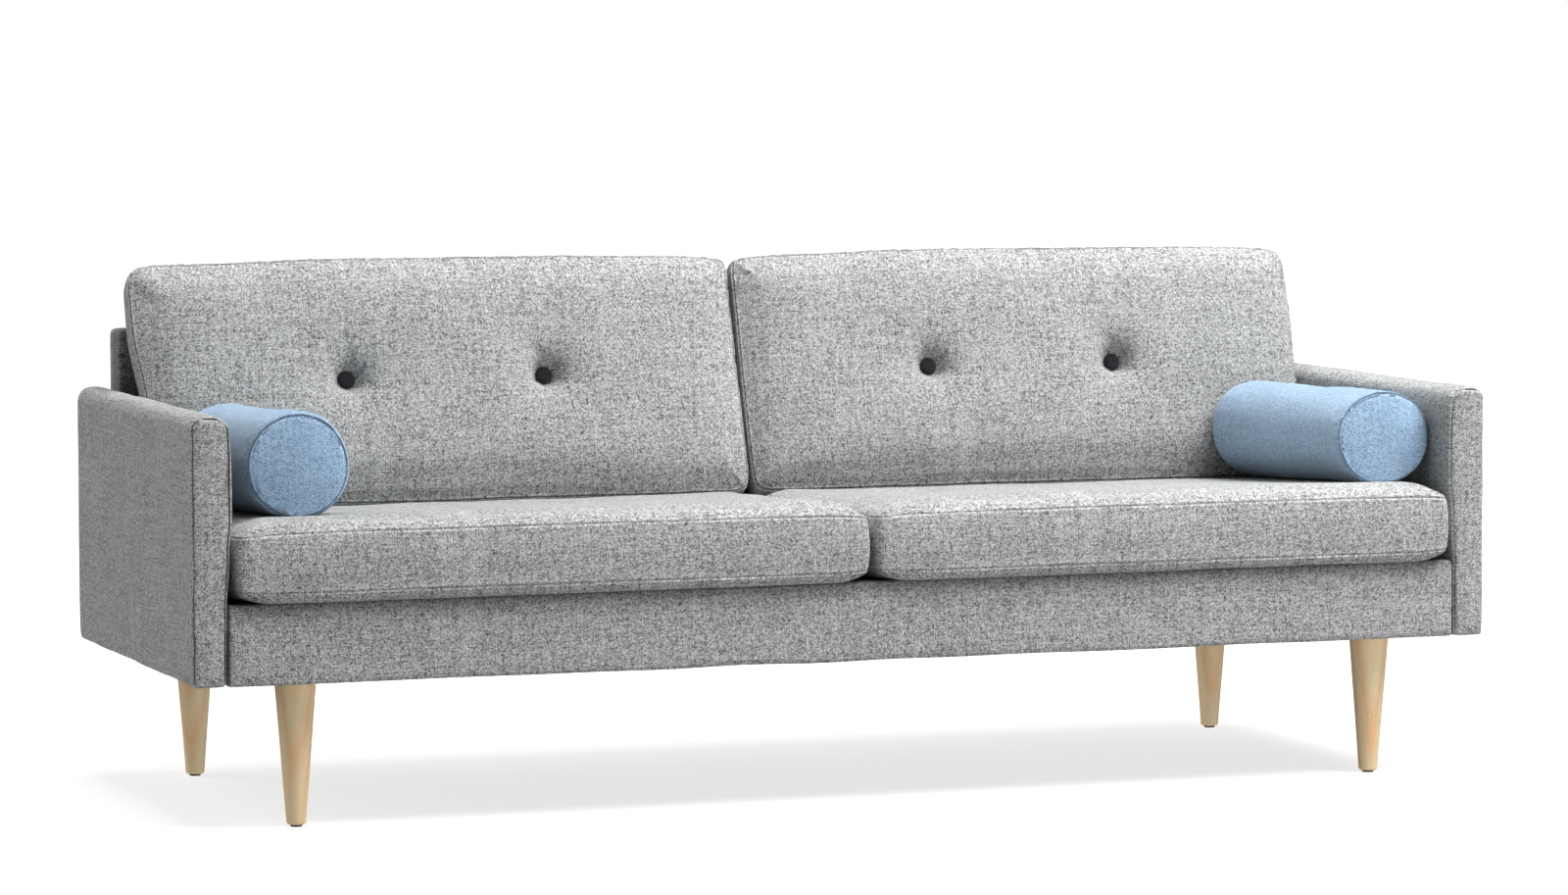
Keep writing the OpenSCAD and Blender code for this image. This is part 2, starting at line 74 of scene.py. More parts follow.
def add_to_scene(name, data):
    obj = bpy.data.objects.new(name, data)
    bpy.context.scene.collection.objects.link(obj)
    return obj


def add_camera():
    """The photograph's viewpoint: from the front left, a little above the seat, with a long lens."""
    data = bpy.data.cameras.new("camera")
    data.lens = CAMERA_LENS
    data.sensor_width = 36
    data.clip_end = 200
    camera = add_to_scene("camera", data)
    turn = Matrix.Rotation(-CAMERA_TURN, 4, "Z")
    tip = Matrix.Rotation(math.pi / 2 - CAMERA_DIP, 4, "X")
    roll = Matrix.Rotation(-CAMERA_ROLL, 4, "Z")
    camera.matrix_world = Matrix.Translation(CAMERA_PLACE) @ turn @ tip @ roll
    bpy.context.scene.camera = camera


# --- shader helpers ---------------------------------------


class Nodes:
    """A node tree, with one call per node."""

    def __init__(self, owner):
        owner.use_nodes = True
        self.tree = owner.node_tree

    def add(self, kind, inputs=None, **settings):
        """A node of that kind; inputs maps a socket's name or number to a value or to another socket."""
        node = self.tree.nodes.new("ShaderNode" + kind)
        for name, value in settings.items():
            setattr(node, name, value)
        for key, value in (inputs or {}).items():
            self.put(node.inputs[key], value)
        return node

    def put(self, socket, value):
        if isinstance(value, bpy.types.NodeSocket):
            self.tree.links.new(value, socket)
        else:
            socket.default_value = value

    def math(self, operation, a, b=0.0, c=0.0):
        return self.add("Math", {0: a, 1: b, 2: c}, operation=operation).outputs[0]

    def mix(self, share, a, b):
        """Between the numbers a and b."""
        return self.add("Mix", {0: share, 2: a, 3: b}, data_type="FLOAT").outputs[0]

    def blend(self, share, a, b, mode="MIX"):
        """Between the colours a and b."""
        node = self.add("Mix", {0: share, 6: a, 7: b}, data_type="RGBA", blend_type=mode)
        return node.outputs[2]

    def noise(self, vector, scale, detail=2.0, roughness=0.5):
        sockets = {"Vector": vector, "Scale": scale, "Detail": detail, "Roughness": roughness}
        return self.add("TexNoise", sockets).outputs[0]

    def random(self, row, along, pace, offset):
        """A random value for each length of a row; the rows' lengths start at different places."""
        start = self.add("TexWhiteNoise", {"W": self.math("ADD", row, offset)}, noise_dimensions="1D")
        length = self.math("FLOOR", self.math("ADD", self.math("MULTIPLY", along, pace), start.outputs[0]))
        spot = self.vector(row, length, offset)
        return self.add("TexWhiteNoise", {"Vector": spot}, noise_dimensions="3D").outputs[0]

    def vector(self, x, y, z=0.0):
        return self.add("CombineXYZ", {0: x, 1: y, 2: z}).outputs[0]

    def spread(self, value, low, high, to_low=0.0, to_high=1.0):
        """The range low to high drawn out to another, and held at its ends."""
        sockets = {0: value, 1: low, 2: high, 3: to_low, 4: to_high}
        return self.add("MapRange", sockets).outputs[0]


class Shader(Nodes):
    """A material's nodes round its one surface shader."""

    def __init__(self, name, **finish):
        self.material = bpy.data.materials.new(name)
        super().__init__(self.material)
        self.surface = self.tree.nodes["Principled BSDF"]
        for socket, value in finish.items():
            self.surface.inputs[socket.replace("_", " ")].default_value = value

    def object_place(self):
        """Object coordinates as three sockets, and the object-space normal as three more."""
        coords = self.add("TexCoord")
        place = self.add("SeparateXYZ", {0: coords.outputs["Object"]}).outputs
        normal = self.add("SeparateXYZ", {0: coords.outputs["Normal"]}).outputs
        return place, normal

    def bump(self, height, distance):
        node = self.add("Bump", {"Height": height, "Distance": distance, "Strength": 1.0})
        self.put(self.surface.inputs["Normal"], node.outputs[0])

    def colour(self, value):
        self.put(self.surface.inputs["Base Color"], value)


def rgb(red, green, blue):
    return (red, green, blue, 1.0)


# --- cloth materials --------------------------------------

FACES_AXIS = 0.72  # how much of a normal lies along an axis where the face counts as square to it
THREAD_RUN = 60 * MM  # how long a thread keeps its own slight tone
WANDER = 1.3  # how far the threads wander from straight, in pitches
THREAD_SHADE = (0.80, 1.12)  # painted shade between the threads, and painted highlight on their crowns


def flat_threads(shader):
    """Thread coordinates on flat panels: level and upright on walls, across and along on tops."""
    place, normal = shader.object_place()
    faces_x = shader.math("GREATER_THAN", shader.math("ABSOLUTE", normal[0]), FACES_AXIS)
    faces_z = shader.math("GREATER_THAN", shader.math("ABSOLUTE", normal[2]), FACES_AXIS)
    u = shader.mix(faces_x, place[0], place[1])
    v = shader.mix(faces_z, place[2], place[1])
    return u, v


def rolled_threads(shader, radius):
    """Thread coordinates on a roll along Y: round and along the barrel, level and upright on its ends."""
    place, normal = shader.object_place()
    is_end = shader.math("GREATER_THAN", shader.math("ABSOLUTE", normal[1]), FACES_AXIS)
    angle = shader.math("ARCTAN2", place[0], place[2])
    u = shader.mix(is_end, shader.math("MULTIPLY", angle, radius), place[0])
    v = shader.mix(is_end, place[1], place[2])
    return u, v


def woven(name, dark, light, yarn, streak, contrast, fuzz, depth, radius=None):
    """Plain-woven cloth of mixed yarns: each crossing shows the warp or the weft, each in its own tones.

    yarn is the pitch of the threads, streak how long a tone lasts along a thread and depth the relief,
    in metres. contrast is how far the tones part, from 0 to 1, and radius is given for cloth on a roll."""
    shader = Shader(name, Roughness=0.92, Sheen_Weight=fuzz, Sheen_Roughness=0.45, Specular_IOR_Level=0.2)
    u, v = rolled_threads(shader, radius) if radius else flat_threads(shader)
    wander = [shader.noise(shader.vector(u, v, layer), 0.7 / yarn, 0.0) for layer in (11.0, 17.0)]
    threads = []
    for shift, place in zip(wander, (u, v)):
        shift = shader.math("SUBTRACT", shift, 0.5)
        threads.append(shader.math("MULTIPLY_ADD", shift, WANDER, shader.math("DIVIDE", place, yarn)))
    across, along = threads
    warp_number, weft_number = shader.math("FLOOR", across), shader.math("FLOOR", along)
    crossing = shader.math("ADD", warp_number, weft_number)
    weft_over = shader.math("MODULO", shader.math("ABSOLUTE", crossing), 2.0)

    # each thread is a row of short lengths of yarn, each length in a tone of its own
    warp = shader.random(warp_number, along, yarn / streak, 0.0)
    weft = shader.random(weft_number, across, yarn / streak, 40.0)
    tone = shader.mix(weft_over, warp, weft)

    # whole threads that run a little darker or lighter, the fibres' own speckle, and broad drifts of tone
    long_warp = shader.random(warp_number, along, yarn / THREAD_RUN, 80.0)
    long_weft = shader.random(weft_number, across, yarn / THREAD_RUN, 120.0)
    speckle = shader.noise(shader.vector(u, v, 3.0), 1.6 / yarn, 1.0)
    drift = shader.noise(shader.vector(u, v), 9.0, 1.0)
    for field, share in ((long_warp, 0.16), (long_weft, 0.16), (speckle, 0.5), (drift, 0.12)):
        tone = shader.math("MULTIPLY_ADD", shader.math("SUBTRACT", field, 0.5), share, tone)
    tone = shader.spread(tone, 0.5 - 0.5 / contrast, 0.5 + 0.5 / contrast)
    colour = shader.blend(tone, dark, light)

    # the threads' relief: each rises over the one that it crosses; the gaps between them get painted shade
    # and the crowns a painted highlight
    rise = shader.math("COSINE", shader.math("MULTIPLY", shader.math("PINGPONG", across, 0.5), math.pi))
    run = shader.math("COSINE", shader.math("MULTIPLY", shader.math("PINGPONG", along, 0.5), math.pi))
    weave = shader.mix(weft_over, rise, run)
    # the 'seam' attribute holds the pieces' painted shade, and below 0 their painted light
    seam = shader.add("Attribute", attribute_name="seam").outputs["Fac"]
    thread_shade = shader.spread(weave, 0.0, 1.0, *THREAD_SHADE)
    shade = shader.math("MULTIPLY", shader.spread(seam, -1.0, 1.0, 2.0, 0.0), thread_shade)
    shader.colour(shader.blend(1.0, colour, shader.vector(shade, shade, shade), "MULTIPLY"))
    height = shader.math("ADD", shader.math("MULTIPLY", weave, 0.6), shader.math("MULTIPLY", tone, 0.8))
    shader.bump(height, depth)
    return shader.material


# --- other materials --------------------------------------

GRAIN_DEPTH = 0.15 * MM


def grained(name, dark, light, pore, roughness, ring_pitch, ring_share):
    """Timber with its grain along Z: growth rings, fine streaks and short dark pores."""
    shader = Shader(name, Roughness=roughness, Specular_IOR_Level=0.35)
    place, _ = shader.object_place()

    def drawn_out(share):
        """The place, with its height scaled down, so that a pattern runs long up the grain."""
        return shader.vector(place[0], place[1], shader.math("MULTIPLY", place[2], share))

    wander = shader.noise(drawn_out(0.25), 14.0, 2.0)
    off_axis = shader.math("ADD", place[1], shader.math("MULTIPLY", place[0], 0.35))
    depth = shader.math("ADD", off_axis, shader.math("MULTIPLY", wander, 0.03))
    rings = shader.math("PINGPONG", shader.math("DIVIDE", depth, ring_pitch), 1.0)
    rings = shader.math("POWER", rings, 1.6)

    streaks = shader.noise(drawn_out(0.04), 900.0, 3.0, 0.6)
    pores = shader.noise(drawn_out(0.08), 1500.0, 1.0)
    patches = shader.noise(drawn_out(0.04), 60.0, 2.0)

    tone = shader.math("MULTIPLY", rings, ring_share)
    tone = shader.math("ADD", tone, shader.math("MULTIPLY", streaks, 0.5))
    tone = shader.math("ADD", tone, shader.math("MULTIPLY", patches, 0.5))
    colour = shader.blend(shader.spread(tone, 0.35, 1.05), light, dark)
    pore_share = shader.spread(pores, 0.62, 0.72, 0.0, 0.5)
    shader.colour(shader.blend(pore_share, colour, rgb(*pore)))
    shader.bump(shader.math("SUBTRACT", streaks, shader.math("MULTIPLY", pore_share, 0.8)), GRAIN_DEPTH)
    return shader.material


def speckled(name, dark, light, scale, roughness, depth, metal=0.0):
    """Felt, foam, board, plastic or plated metal: two close tones in fine grain over broad patches."""
    shader = Shader(name, Roughness=roughness, Metallic=metal)
    coords = shader.add("TexCoord").outputs["Object"]
    fine = shader.noise(coords, scale, 3.0, 0.6)
    broad = shader.noise(coords, scale / 25, 2.0)
    tone = shader.math("ADD", shader.math("MULTIPLY", fine, 0.7), shader.math("MULTIPLY", broad, 0.3))
    shader.colour(shader.blend(shader.spread(tone, 0.3, 0.7), dark, light))
    shader.bump(fine, depth)
    return shader.material


# each material slot of the record, with its darker and its lighter tone
FINISHES = {
    "grey_cloth": (woven, (0.060, 0.062, 0.063), (0.76, 0.77, 0.76), dict(
        yarn=1.3 * MM, streak=3.2 * MM, contrast=1.08, fuzz=0.2, depth=0.35 * MM)),
    "blue_cloth": (woven, (0.125, 0.235, 0.39), (0.49, 0.66, 0.85), dict(
        yarn=1.1 * MM, streak=2.6 * MM, contrast=1.1, fuzz=0.3, depth=0.25 * MM, radius=80 * MM)),
    "button_cloth": (woven, (0.006, 0.006, 0.008), (0.028, 0.029, 0.034), dict(
        yarn=1.0 * MM, streak=4 * MM, contrast=1.3, fuzz=0.15, depth=0.2 * MM)),
    "oak": (grained, (0.98, 0.60, 0.30), (1.0, 0.83, 0.53), dict(
        pore=(0.62, 0.35, 0.15), roughness=0.5, ring_pitch=7 * MM, ring_share=0.45)),
    "frame_timber": (grained, (0.55, 0.36, 0.17), (0.78, 0.60, 0.36), dict(
        pore=(0.42, 0.26, 0.12), roughness=0.7, ring_pitch=11 * MM, ring_share=0.6)),
    "hardboard": (speckled, (0.10, 0.055, 0.025), (0.20, 0.12, 0.06), dict(
        scale=900.0, roughness=0.75, depth=0.1 * MM)),
    "zinc_steel": (speckled, (0.45, 0.46, 0.48), (0.72, 0.73, 0.75), dict(
        scale=500.0, roughness=0.38, depth=0.02 * MM, metal=1.0)),
    "glide_nylon": (speckled, (0.012, 0.012, 0.012), (0.03, 0.03, 0.03), dict(
        scale=1200.0, roughness=0.55, depth=0.03 * MM)),
    "webbing": (woven, (0.008, 0.008, 0.009), (0.05, 0.05, 0.055), dict(
        yarn=2.2 * MM, streak=9 * MM, contrast=1.4, fuzz=0.1, depth=0.4 * MM)),
    "black_lining": (speckled, (0.008, 0.008, 0.008), (0.035, 0.035, 0.035), dict(
        scale=700.0, roughness=0.95, depth=0.2 * MM)),
    "foam": (speckled, (0.62, 0.58, 0.46), (0.80, 0.77, 0.66), dict(
        scale=800.0, roughness=0.95, depth=0.3 * MM)),
    "zip": (speckled, (0.10, 0.10, 0.10), (0.20, 0.20, 0.20), dict(
        scale=900.0, roughness=0.5, depth=0.05 * MM)),
    "twine": (woven, (0.45, 0.42, 0.34), (0.80, 0.77, 0.68), dict(
        yarn=0.6 * MM, streak=3 * MM, contrast=1.3, fuzz=0.1, depth=0.1 * MM)),
}
materials = {name: make(name, rgb(*dark), rgb(*light), **look)
             for name, (make, dark, light, look) in FINISHES.items()}


def dress_cad_nodes():
    """Each CAD node's slots take the finish that the record names."""
    for node in NODES.values():
        for slot in node.material_slots:
            slot.material = materials[slot.material.name.split(".")[0]]


# --- panels and slabs -------------------------------------


def zone_lines(span, zone, cell):
    """Grid lines across a panel: each one's inner place, and its share of the corner zone beyond it."""
    low, high = span
    steps = max(2, round(1.3 * zone / cell))
    shares = np.linspace(0, 1, steps + 1)[1:]
    middle = np.linspace(low + zone, high - zone, max(2, round((high - low - 2 * zone) / cell)) + 1)
    places = np.concatenate([np.full(steps, low + zone), middle, np.full(steps, high - zone)])
    reach = np.concatenate([-shares[::-1], np.zeros(len(middle)), shares])
    return places, reach


def plan_grid(u_lines, v_lines, zone, softness, inset):
    """The grid over a panel whose corners are rounded through the zone, drawn in from its edge by inset.

    softness is how round each corner is, from 0 to 1: bottom left, bottom right, top left, top right."""
    u, share_u = (np.broadcast_to(a[:, None], (len(a), len(v_lines[0]))) for a in u_lines)
    v, share_v = (np.broadcast_to(a[None, :], (len(u_lines[0]), len(a))) for a in v_lines)
    soft = np.array(softness)[np.where(share_v > 0, 2, 0) + np.where(share_u > 0, 1, 0)]
    round_u = share_u * np.sqrt(1 - share_v**2 / 2)
    round_v = share_v * np.sqrt(1 - share_u**2 / 2)
    reach = zone - inset
    u = u + reach * (share_u + soft * (round_u - share_u))
    v = v + reach * (share_v + soft * (round_v - share_v))
    return u, v


def slab(u_span, v_span, stations, zone, softness=(1, 1, 1, 1), cell=CELL):
    """A closed quad mesh: a ring at each station (depth, inset), and a grid over the first and the last.

    Returns the points as (u, v, depth), the faces and the rings."""
    u_lines, v_lines = zone_lines(u_span, zone, cell), zone_lines(v_span, zone, cell)
    nu, nv = len(u_lines[0]), len(v_lines[0])
    rim = [(i, 0) for i in range(nu - 1)] + [(nu - 1, j) for j in range(nv - 1)]
    rim += [(i, nv - 1) for i in range(nu - 1, 0, -1)] + [(0, j) for j in range(nv - 1, 0, -1)]
    rim = np.array([i * nv + j for i, j in rim])

    points, rings, starts, total = [], [], [], 0
    for number, (depth, inset) in enumerate(stations):
        u, v = plan_grid(u_lines, v_lines, zone, softness, inset)
        layer = np.stack([u.ravel(), v.ravel(), np.full(u.size, depth)], axis=1)
        if number in (0, len(stations) - 1):
            starts.append(total)
            rings.append(total + rim)
        else:
            layer = layer[rim]
            rings.append(total + np.arange(len(rim)))
        points.append(layer)
        total += len(layer)

    faces = []
    for i in range(nu - 1):
        for j in range(nv - 1):
            corner = i * nv + j
            quad = (corner, corner + nv, corner + nv + 1, corner + 1)
            faces.append([starts[1] + q for q in quad])
            faces.append([starts[0] + q for q in reversed(quad)])
    for ring, above in zip(rings, rings[1:]):
        following, following_above = np.roll(ring, -1), np.roll(above, -1)
        faces += np.stack([ring, following, following_above, above], axis=1).tolist()
    return np.concatenate(points), faces, rings


def in_mm(stations, start=0.0):
    """Stations written in millimetres, with their depths counted from start."""
    return [(start + depth * MM, inset * MM) for depth, inset in stations]


def standing(points):
    """Slab points of a piece whose face looks towards -Y: u across, v up, depth towards the front."""
    return np.stack([points[:, 0], -points[:, 2], points[:, 1]], axis=1)


def add_object(name, points, faces, rings=(), seams=()):
    """A mesh object; the rings numbered in seams have their edges marked as seams."""
    mesh = bpy.data.meshes.new(name)
    mesh.from_pydata(points.tolist(), [], [list(map(int, face)) for face in faces])
    pairs = set()
    for number in seams:
        ring = rings[number]
        pairs |= {frozenset(map(int, pair)) for pair in zip(ring, np.roll(ring, -1))}
    for edge in mesh.edges:
        edge.use_seam = frozenset(edge.vertices) in pairs
    mesh.shade_smooth()
    return add_to_scene(name, mesh)


def points_of(obj):
    flat = np.empty(len(obj.data.vertices) * 3)
    obj.data.vertices.foreach_get("co", flat)
    return flat.reshape(-1, 3)


def normals_of(obj):
    flat = np.empty(len(obj.data.vertices) * 3, np.float32)
    obj.data.vertex_normals.foreach_get("vector", flat)
    return flat.reshape(-1, 3).astype(float)


def set_points(obj, points):
    obj.data.vertices.foreach_set("co", np.asarray(points, np.float32).ravel())
    obj.data.update()


def subdivide(obj):
    modifier = obj.modifiers.new("smooth", "SUBSURF")
    modifier.levels = modifier.render_levels = 1
    evaluated = obj.evaluated_get(bpy.context.evaluated_depsgraph_get())
    mesh = bpy.data.meshes.new_from_object(evaluated)
    obj.modifiers.remove(modifier)
    old = obj.data
    obj.data = mesh
    bpy.data.meshes.remove(old)


def ease(value, low, high):
    """Rises smoothly from 0 at low to 1 at high."""
    share = np.clip((value - low) / (high - low), 0, 1)
    return share * share * (3 - 2 * share)


def waves(points, length, seed):
    """A smooth random field of about unit height, whose bumps are about length apart."""
    random = np.random.default_rng(seed)
    count = 7
    total = np.zeros(len(points))
    for _ in range(count):
        direction = random.normal(size=3)
        direction *= 2 * math.pi / length * random.uniform(0.6, 1.5) / np.linalg.norm(direction)
        total += np.sin(points @ direction + random.uniform(0, 2 * math.pi))
    return total / math.sqrt(count / 2)


def ripple(obj, points, height, length, seed):
    """How far gentle waves of that height and length push each point of a mesh in or out."""
    return normals_of(obj) * (height * waves(points, length, seed))[:, None]


SPOT_GAP = 0.8 * MM  # between the places that a seam's distance is measured from
LIP_PLACE = 3.2  # how far the lips' crests lie from the groove, in its widths
PUCKER_LENGTH = 22 * MM


def sew_seams(obj, depth, dark, light, width=1.1 * MM, lip=0.8 * MM, tone=0.0, seed=1):
    """Cuts the marked edges into sewn seams: a narrow groove between two puckered lips.

    dark is how much painted shade darkens the groove, light how much a painted highlight brightens the
    crests of its lips, and tone how much painted shade darkens the whole piece."""
    bm = bmesh.new()
    bm.from_mesh(obj.data)
    seam_edges = [edge for edge in bm.edges if edge.seam]
    spots = []
    for edge in seam_edges:
        a, b = (vertex.co for vertex in edge.verts)
        steps = max(2, math.ceil((b - a).length / SPOT_GAP))
        spots += [a.lerp(b, step / steps) for step in range(steps)]
    bmesh.ops.bevel(bm, geom=seam_edges, offset=LIP_PLACE * width, segments=8, profile=0.5, affect="EDGES")
    bm.to_mesh(obj.data)
    bm.free()

    tree = KDTree(len(spots))
    for number, spot in enumerate(spots):
        tree.insert(spot, number)
    tree.balance()
    points = points_of(obj)
    distance = np.array([tree.find(point)[2] for point in points])
    pucker = 1 + 0.5 * waves(points, PUCKER_LENGTH, seed)
    groove = np.exp(-((distance / width) ** 2))
    raised = np.exp(-(((distance - LIP_PLACE * width) / (2.2 * width)) ** 2))
    points += normals_of(obj) * (lip * pucker * raised - depth * groove)[:, None]
    set_points(obj, points)
    # painted highlight on the lips' crests, and painted shade in the groove and over the whole piece
    lip_highlight = np.exp(-(((distance - 2.2 * width) / width) ** 2))
    mark_shade(obj, tone + dark * groove - light * lip_highlight)


def mark_shade(obj, value):
    """How much painted shade darkens each point, held in the 'seam' attribute: 0 as it is, 1 black, and
    below 0 painted light makes it lighter.
    """
    shade = obj.data.attributes.new("seam", "FLOAT", "POINT")
    shade.data.foreach_set("value", np.asarray(value, np.float32))
    obj.data.shade_smooth()


def add_painted_shade(obj, extra):
    """Adds more painted shade to what a piece's points already have."""
    data = obj.data.attributes["seam"].data
    value = np.empty(len(data), np.float32)
    data.foreach_get("value", value)
    data.foreach_set("value", value + extra.astype(np.float32))


CLOTH = {
    "quality": 6, "mass": 0.25, "tension_stiffness": 25, "compression_stiffness": 25, "shear_stiffness": 12,
    "bending_stiffness": 1.5, "use_pressure": True, "uniform_pressure_force": 4.0}
CLOTH_FRAMES = 20


def hold_seams(points, rings, seams, firmness):
    """How firmly each point stays in the simulation: firmness on the seams, and 0 elsewhere."""
    hold = np.zeros(len(points))
    for number in seams:
        hold[rings[number]] = firmness
    return hold


def inflate(obj, cap, hold):
    """Cloth simulation with air inside.

    hold is how firmly each point stays, and cap the furthest that any moves."""
    rest = points_of(obj)
    group = obj.vertex_groups.new(name="held")
    for number, weight in enumerate(hold):
        if weight > 0:
            group.add([number], float(weight), "REPLACE")
    cloth = obj.modifiers.new("cloth", "CLOTH")
    for name, value in CLOTH.items():
        setattr(cloth.settings, name, value)
    cloth.settings.effector_weights.gravity = 0
    cloth.settings.vertex_group_mass = group.name
    cloth.point_cache.frame_start, cloth.point_cache.frame_end = 1, CLOTH_FRAMES
    scene = bpy.context.scene
    for number in range(1, CLOTH_FRAMES + 1):
        scene.frame_set(number)
    moved = points_of(obj.evaluated_get(bpy.context.evaluated_depsgraph_get()))
    obj.modifiers.remove(cloth)
    obj.vertex_groups.remove(group)
    scene.frame_set(1)
    shift = moved - rest
    length = np.linalg.norm(shift, axis=1, keepdims=True) + 1e-9
    set_points(obj, rest + shift / length * cap * np.tanh(length / cap))


def local_box(nodes, rotation):
    """Lowest and highest corner of CAD nodes, along the rotation's own axes."""
    points = np.concatenate([points_of(NODES[node]) for node in nodes]) @ np.array(rotation)
    return points.min(0), points.max(0)


def place_piece(obj, rotation, corner, body, slot, *nodes):
    """Puts a piece built from its own corner where the CAD has it, to ride on its body."""
    obj.matrix_world = Matrix.Translation(rotation @ Vector(corner)) @ rotation.to_4x4()
    obj.data.materials.clear()
    obj.data.materials.append(materials[slot])
    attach(obj, body)
    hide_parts(*nodes)


def rotation_from(y_axis, z_axis):
    """The rotation whose columns are X, y_axis and z_axis."""
    return Matrix((X_AXIS, y_axis, z_axis)).transposed()


# --- seat cushions ----------------------------------------

SEAT_SEAM = 15 * MM  # how far the seams lie from the top and the bottom
SEAT_ROLL = 14 * MM  # how far the panels roll over before the seams
SEAT_CORNER = 16 * MM
SEAT_CROWN, CROWN_PLACE, CROWN_REACH = 5 * MM, 60 * MM, 90 * MM  # its height, and its place behind the front
SEAT_SAG, SAG_START, SAG_END = 6 * MM, 90 * MM, 480 * MM  # where the top sinks, from the front
SIDE_THINNING, CORNER_THINNING = 0.10, 0.20
SEAT_SWELL = 2.5 * MM  # how far the pattern starts inside the finished shape
SEAT_HOLD = 0.8  # how firmly the seams stay while the air swells the cushion
EDGE_REACH = 60 * MM  # how far in from its sides a cushion thins
CORNER_REACH = 90 * MM  # how far back from its corners it thins the most
SEAT_LEAN = 11 * MM  # how far the left cushion crowds the right one, where they meet
SIDE_PULL, END_PULL = 9 * MM, 3 * MM  # how far its upper and lower edges draw in


def roll_stations(edge, seam, roll, outward, slant=0.0):
    """Stations from a seam to the flat of a panel, round a quarter of an ellipse.

    slant is from 0, where the panel leaves the seam upright, to 1, where it leaves it at a slope."""
    steps = (0.25, 0.5, 0.75, 0.93)
    lift = edge - seam
    for step in steps:
        angle = step * math.pi / 2
        share = 1 - math.cos(angle)
        yield seam + lift * math.sin(angle), outward + roll * (share + slant * (step - share))


def seat_cushion(side):
    """A boxed foam cushion: two panels that roll over the edges to a seam, and a border between them."""
    body = f"seat_cushion_{side}"
    cover = f"seat_cover_{side}"
    slide = JOINT_AXES[body + "_slide"]
    rotation = rotation_from(-slide, X_AXIS.cross(-slide))
    low, high = local_box([cover], rotation)
    width, depth, height = high - low

    border = np.linspace(SEAT_SEAM, height - SEAT_SEAM, 8)
    top = list(roll_stations(height, height - SEAT_SEAM, SEAT_ROLL, SEAT_SWELL))
    bottom = [(height - z, inset) for z, inset in reversed(top)]
    stations = bottom + [(z, SEAT_SWELL) for z in border] + top
    seams = (len(bottom), len(bottom) + len(border) - 1)
    points, faces, rings = slab((0, width), (0, depth), stations, SEAT_CORNER)
    obj = add_object(body, points, faces, rings, seams)

    hold = hold_seams(points, rings, seams, SEAT_HOLD)
    hold[points[:, 2] < SEAT_SEAM] = 1.0
    inflate(obj, 2 * SEAT_SWELL, hold)

    points = points_of(obj)
    x, y, z = points.T
    upper = ease(z, 0.5 * height, height)
    across = 1 - np.abs(2 * x / width - 1) ** 6
    front = np.exp(-(((y - CROWN_PLACE) / CROWN_REACH) ** 2))
    z += upper * across * (SEAT_CROWN * front - SEAT_SAG * ease(y, SAG_START, SAG_END))
    side_gap = np.minimum(x, width - x)
    end_gap = np.minimum(y, depth - y)
    near_side = np.clip(1 - side_gap / EDGE_REACH, 0, 1) ** 2
    near_end = np.clip(1 - end_gap / EDGE_REACH, 0, 1) ** 2
    near_corner = near_side * np.clip(1 - end_gap / CORNER_REACH, 0, 1)
    rise = 2 * z / height - 1
    x += SIDE_PULL * near_side * rise**2 * np.sign(width / 2 - x)
    y += END_PULL * near_end * rise**2 * np.sign(depth / 2 - y)
    thinning = SIDE_THINNING * near_side + CORNER_THINNING * near_corner
    z[:] = np.maximum(height / 2 * (1 + rise * (1 - thinning * rise**4)), 0)
    to_middle = x / width if side == "left" else 1 - x / width
    x += SEAT_LEAN * ease(to_middle, 0.5, 1)
    set_points(obj, points)
    subdivide(obj)
    points = points_of(obj)
    points += ripple(obj, points, 0.6 * MM, 170 * MM, 3 + len(side))
    points[:, 2] = np.maximum(points[:, 2], 0)
    set_points(obj, points)
    sew_seams(obj, depth=0.8 * MM, dark=0.15, light=0.18)
    place_piece(obj, rotation, low, body, "grey_cloth", cover, f"seat_foam_{side}")


# --- back cushions ----------------------------------------

BACK_CORNER = 40 * MM
OUTER_TOP = {"left": 0.75, "right": 0.62}  # how round the upper corners beside the arms are
INNER_TOP = 0.42  # how round the upper corners between the cushions are
TOP_PUFF = 10 * MM
BACK_SEAM = 7 * MM  # how far the front seam lies behind the CAD's crown
SEAM_TURN = 2.5 * MM  # how far the border turns in towards the front seam
SEAM_TURN_DEPTH = 8 * MM  # how far behind the seam it starts to
BACK_TAPER = 15 * MM  # how far the border draws in at the rear
BUTTON_SEAT = 14 * MM  # how far the hollows' floors lie behind the CAD's crown
REAR_HOLLOW_WIDTH, REAR_HOLLOW_DEPTH = 16 * MM, 6 * MM  # the hollows that the anchor buttons lie in
BACK_ROLL = 18 * MM
BACK_CROWN = 15 * MM
BACK_SWELL = 1 * MM
BACK_HOLD = 0.85
BACK_CAP = 6 * MM  # the furthest that the air may push a point
BACK_PAINTED_SHADE = {"left": 0.08, "right": 0.13}  # painted shade: how much darker the cushions are painted than the arms
FOOT_PAINTED_SHADE, TOP_PAINTED_LIGHT = 0.12, 0.16  # how much painted shade darkens them at the foot, and painted light lightens them at the top
SIDE_PUFF = {"left": 15 * MM, "right": 4 * MM}  # how far the side beside the arm fills out above it
FADE_HEIGHT = 110 * MM  # the slope of the foot has gone by this height
TUFT_RADIUS = 15 * MM
FOLD_ANGLES = (35, 100, 200, 330)  # directions of the folds at a button, in degrees
FOLD_DEPTH = 0.16  # as a share of the hollow's
FOOT_CORNER = 0.6  # how round its lower corners are


def leaning(side):
    """The way that a back cushion leans and lifts, and the rotation that its piece is built in."""
    lift = JOINT_AXES[f"back_cushion_{side}_lift"]
    return lift, rotation_from(lift.cross(X_AXIS), lift)


def button_centres(side, rotation, corner):
    """Centres of a cushion's two buttons, as (x, z) from the cushion's corner."""
    low, high = local_box([f"back_buttons_{side}"], rotation)
    radius = (high[2] - low[2]) / 2
    z = (low[2] + high[2]) / 2 - corner[2]
    return [(low[0] + radius - corner[0], z), (high[0] - radius - corner[0], z)]


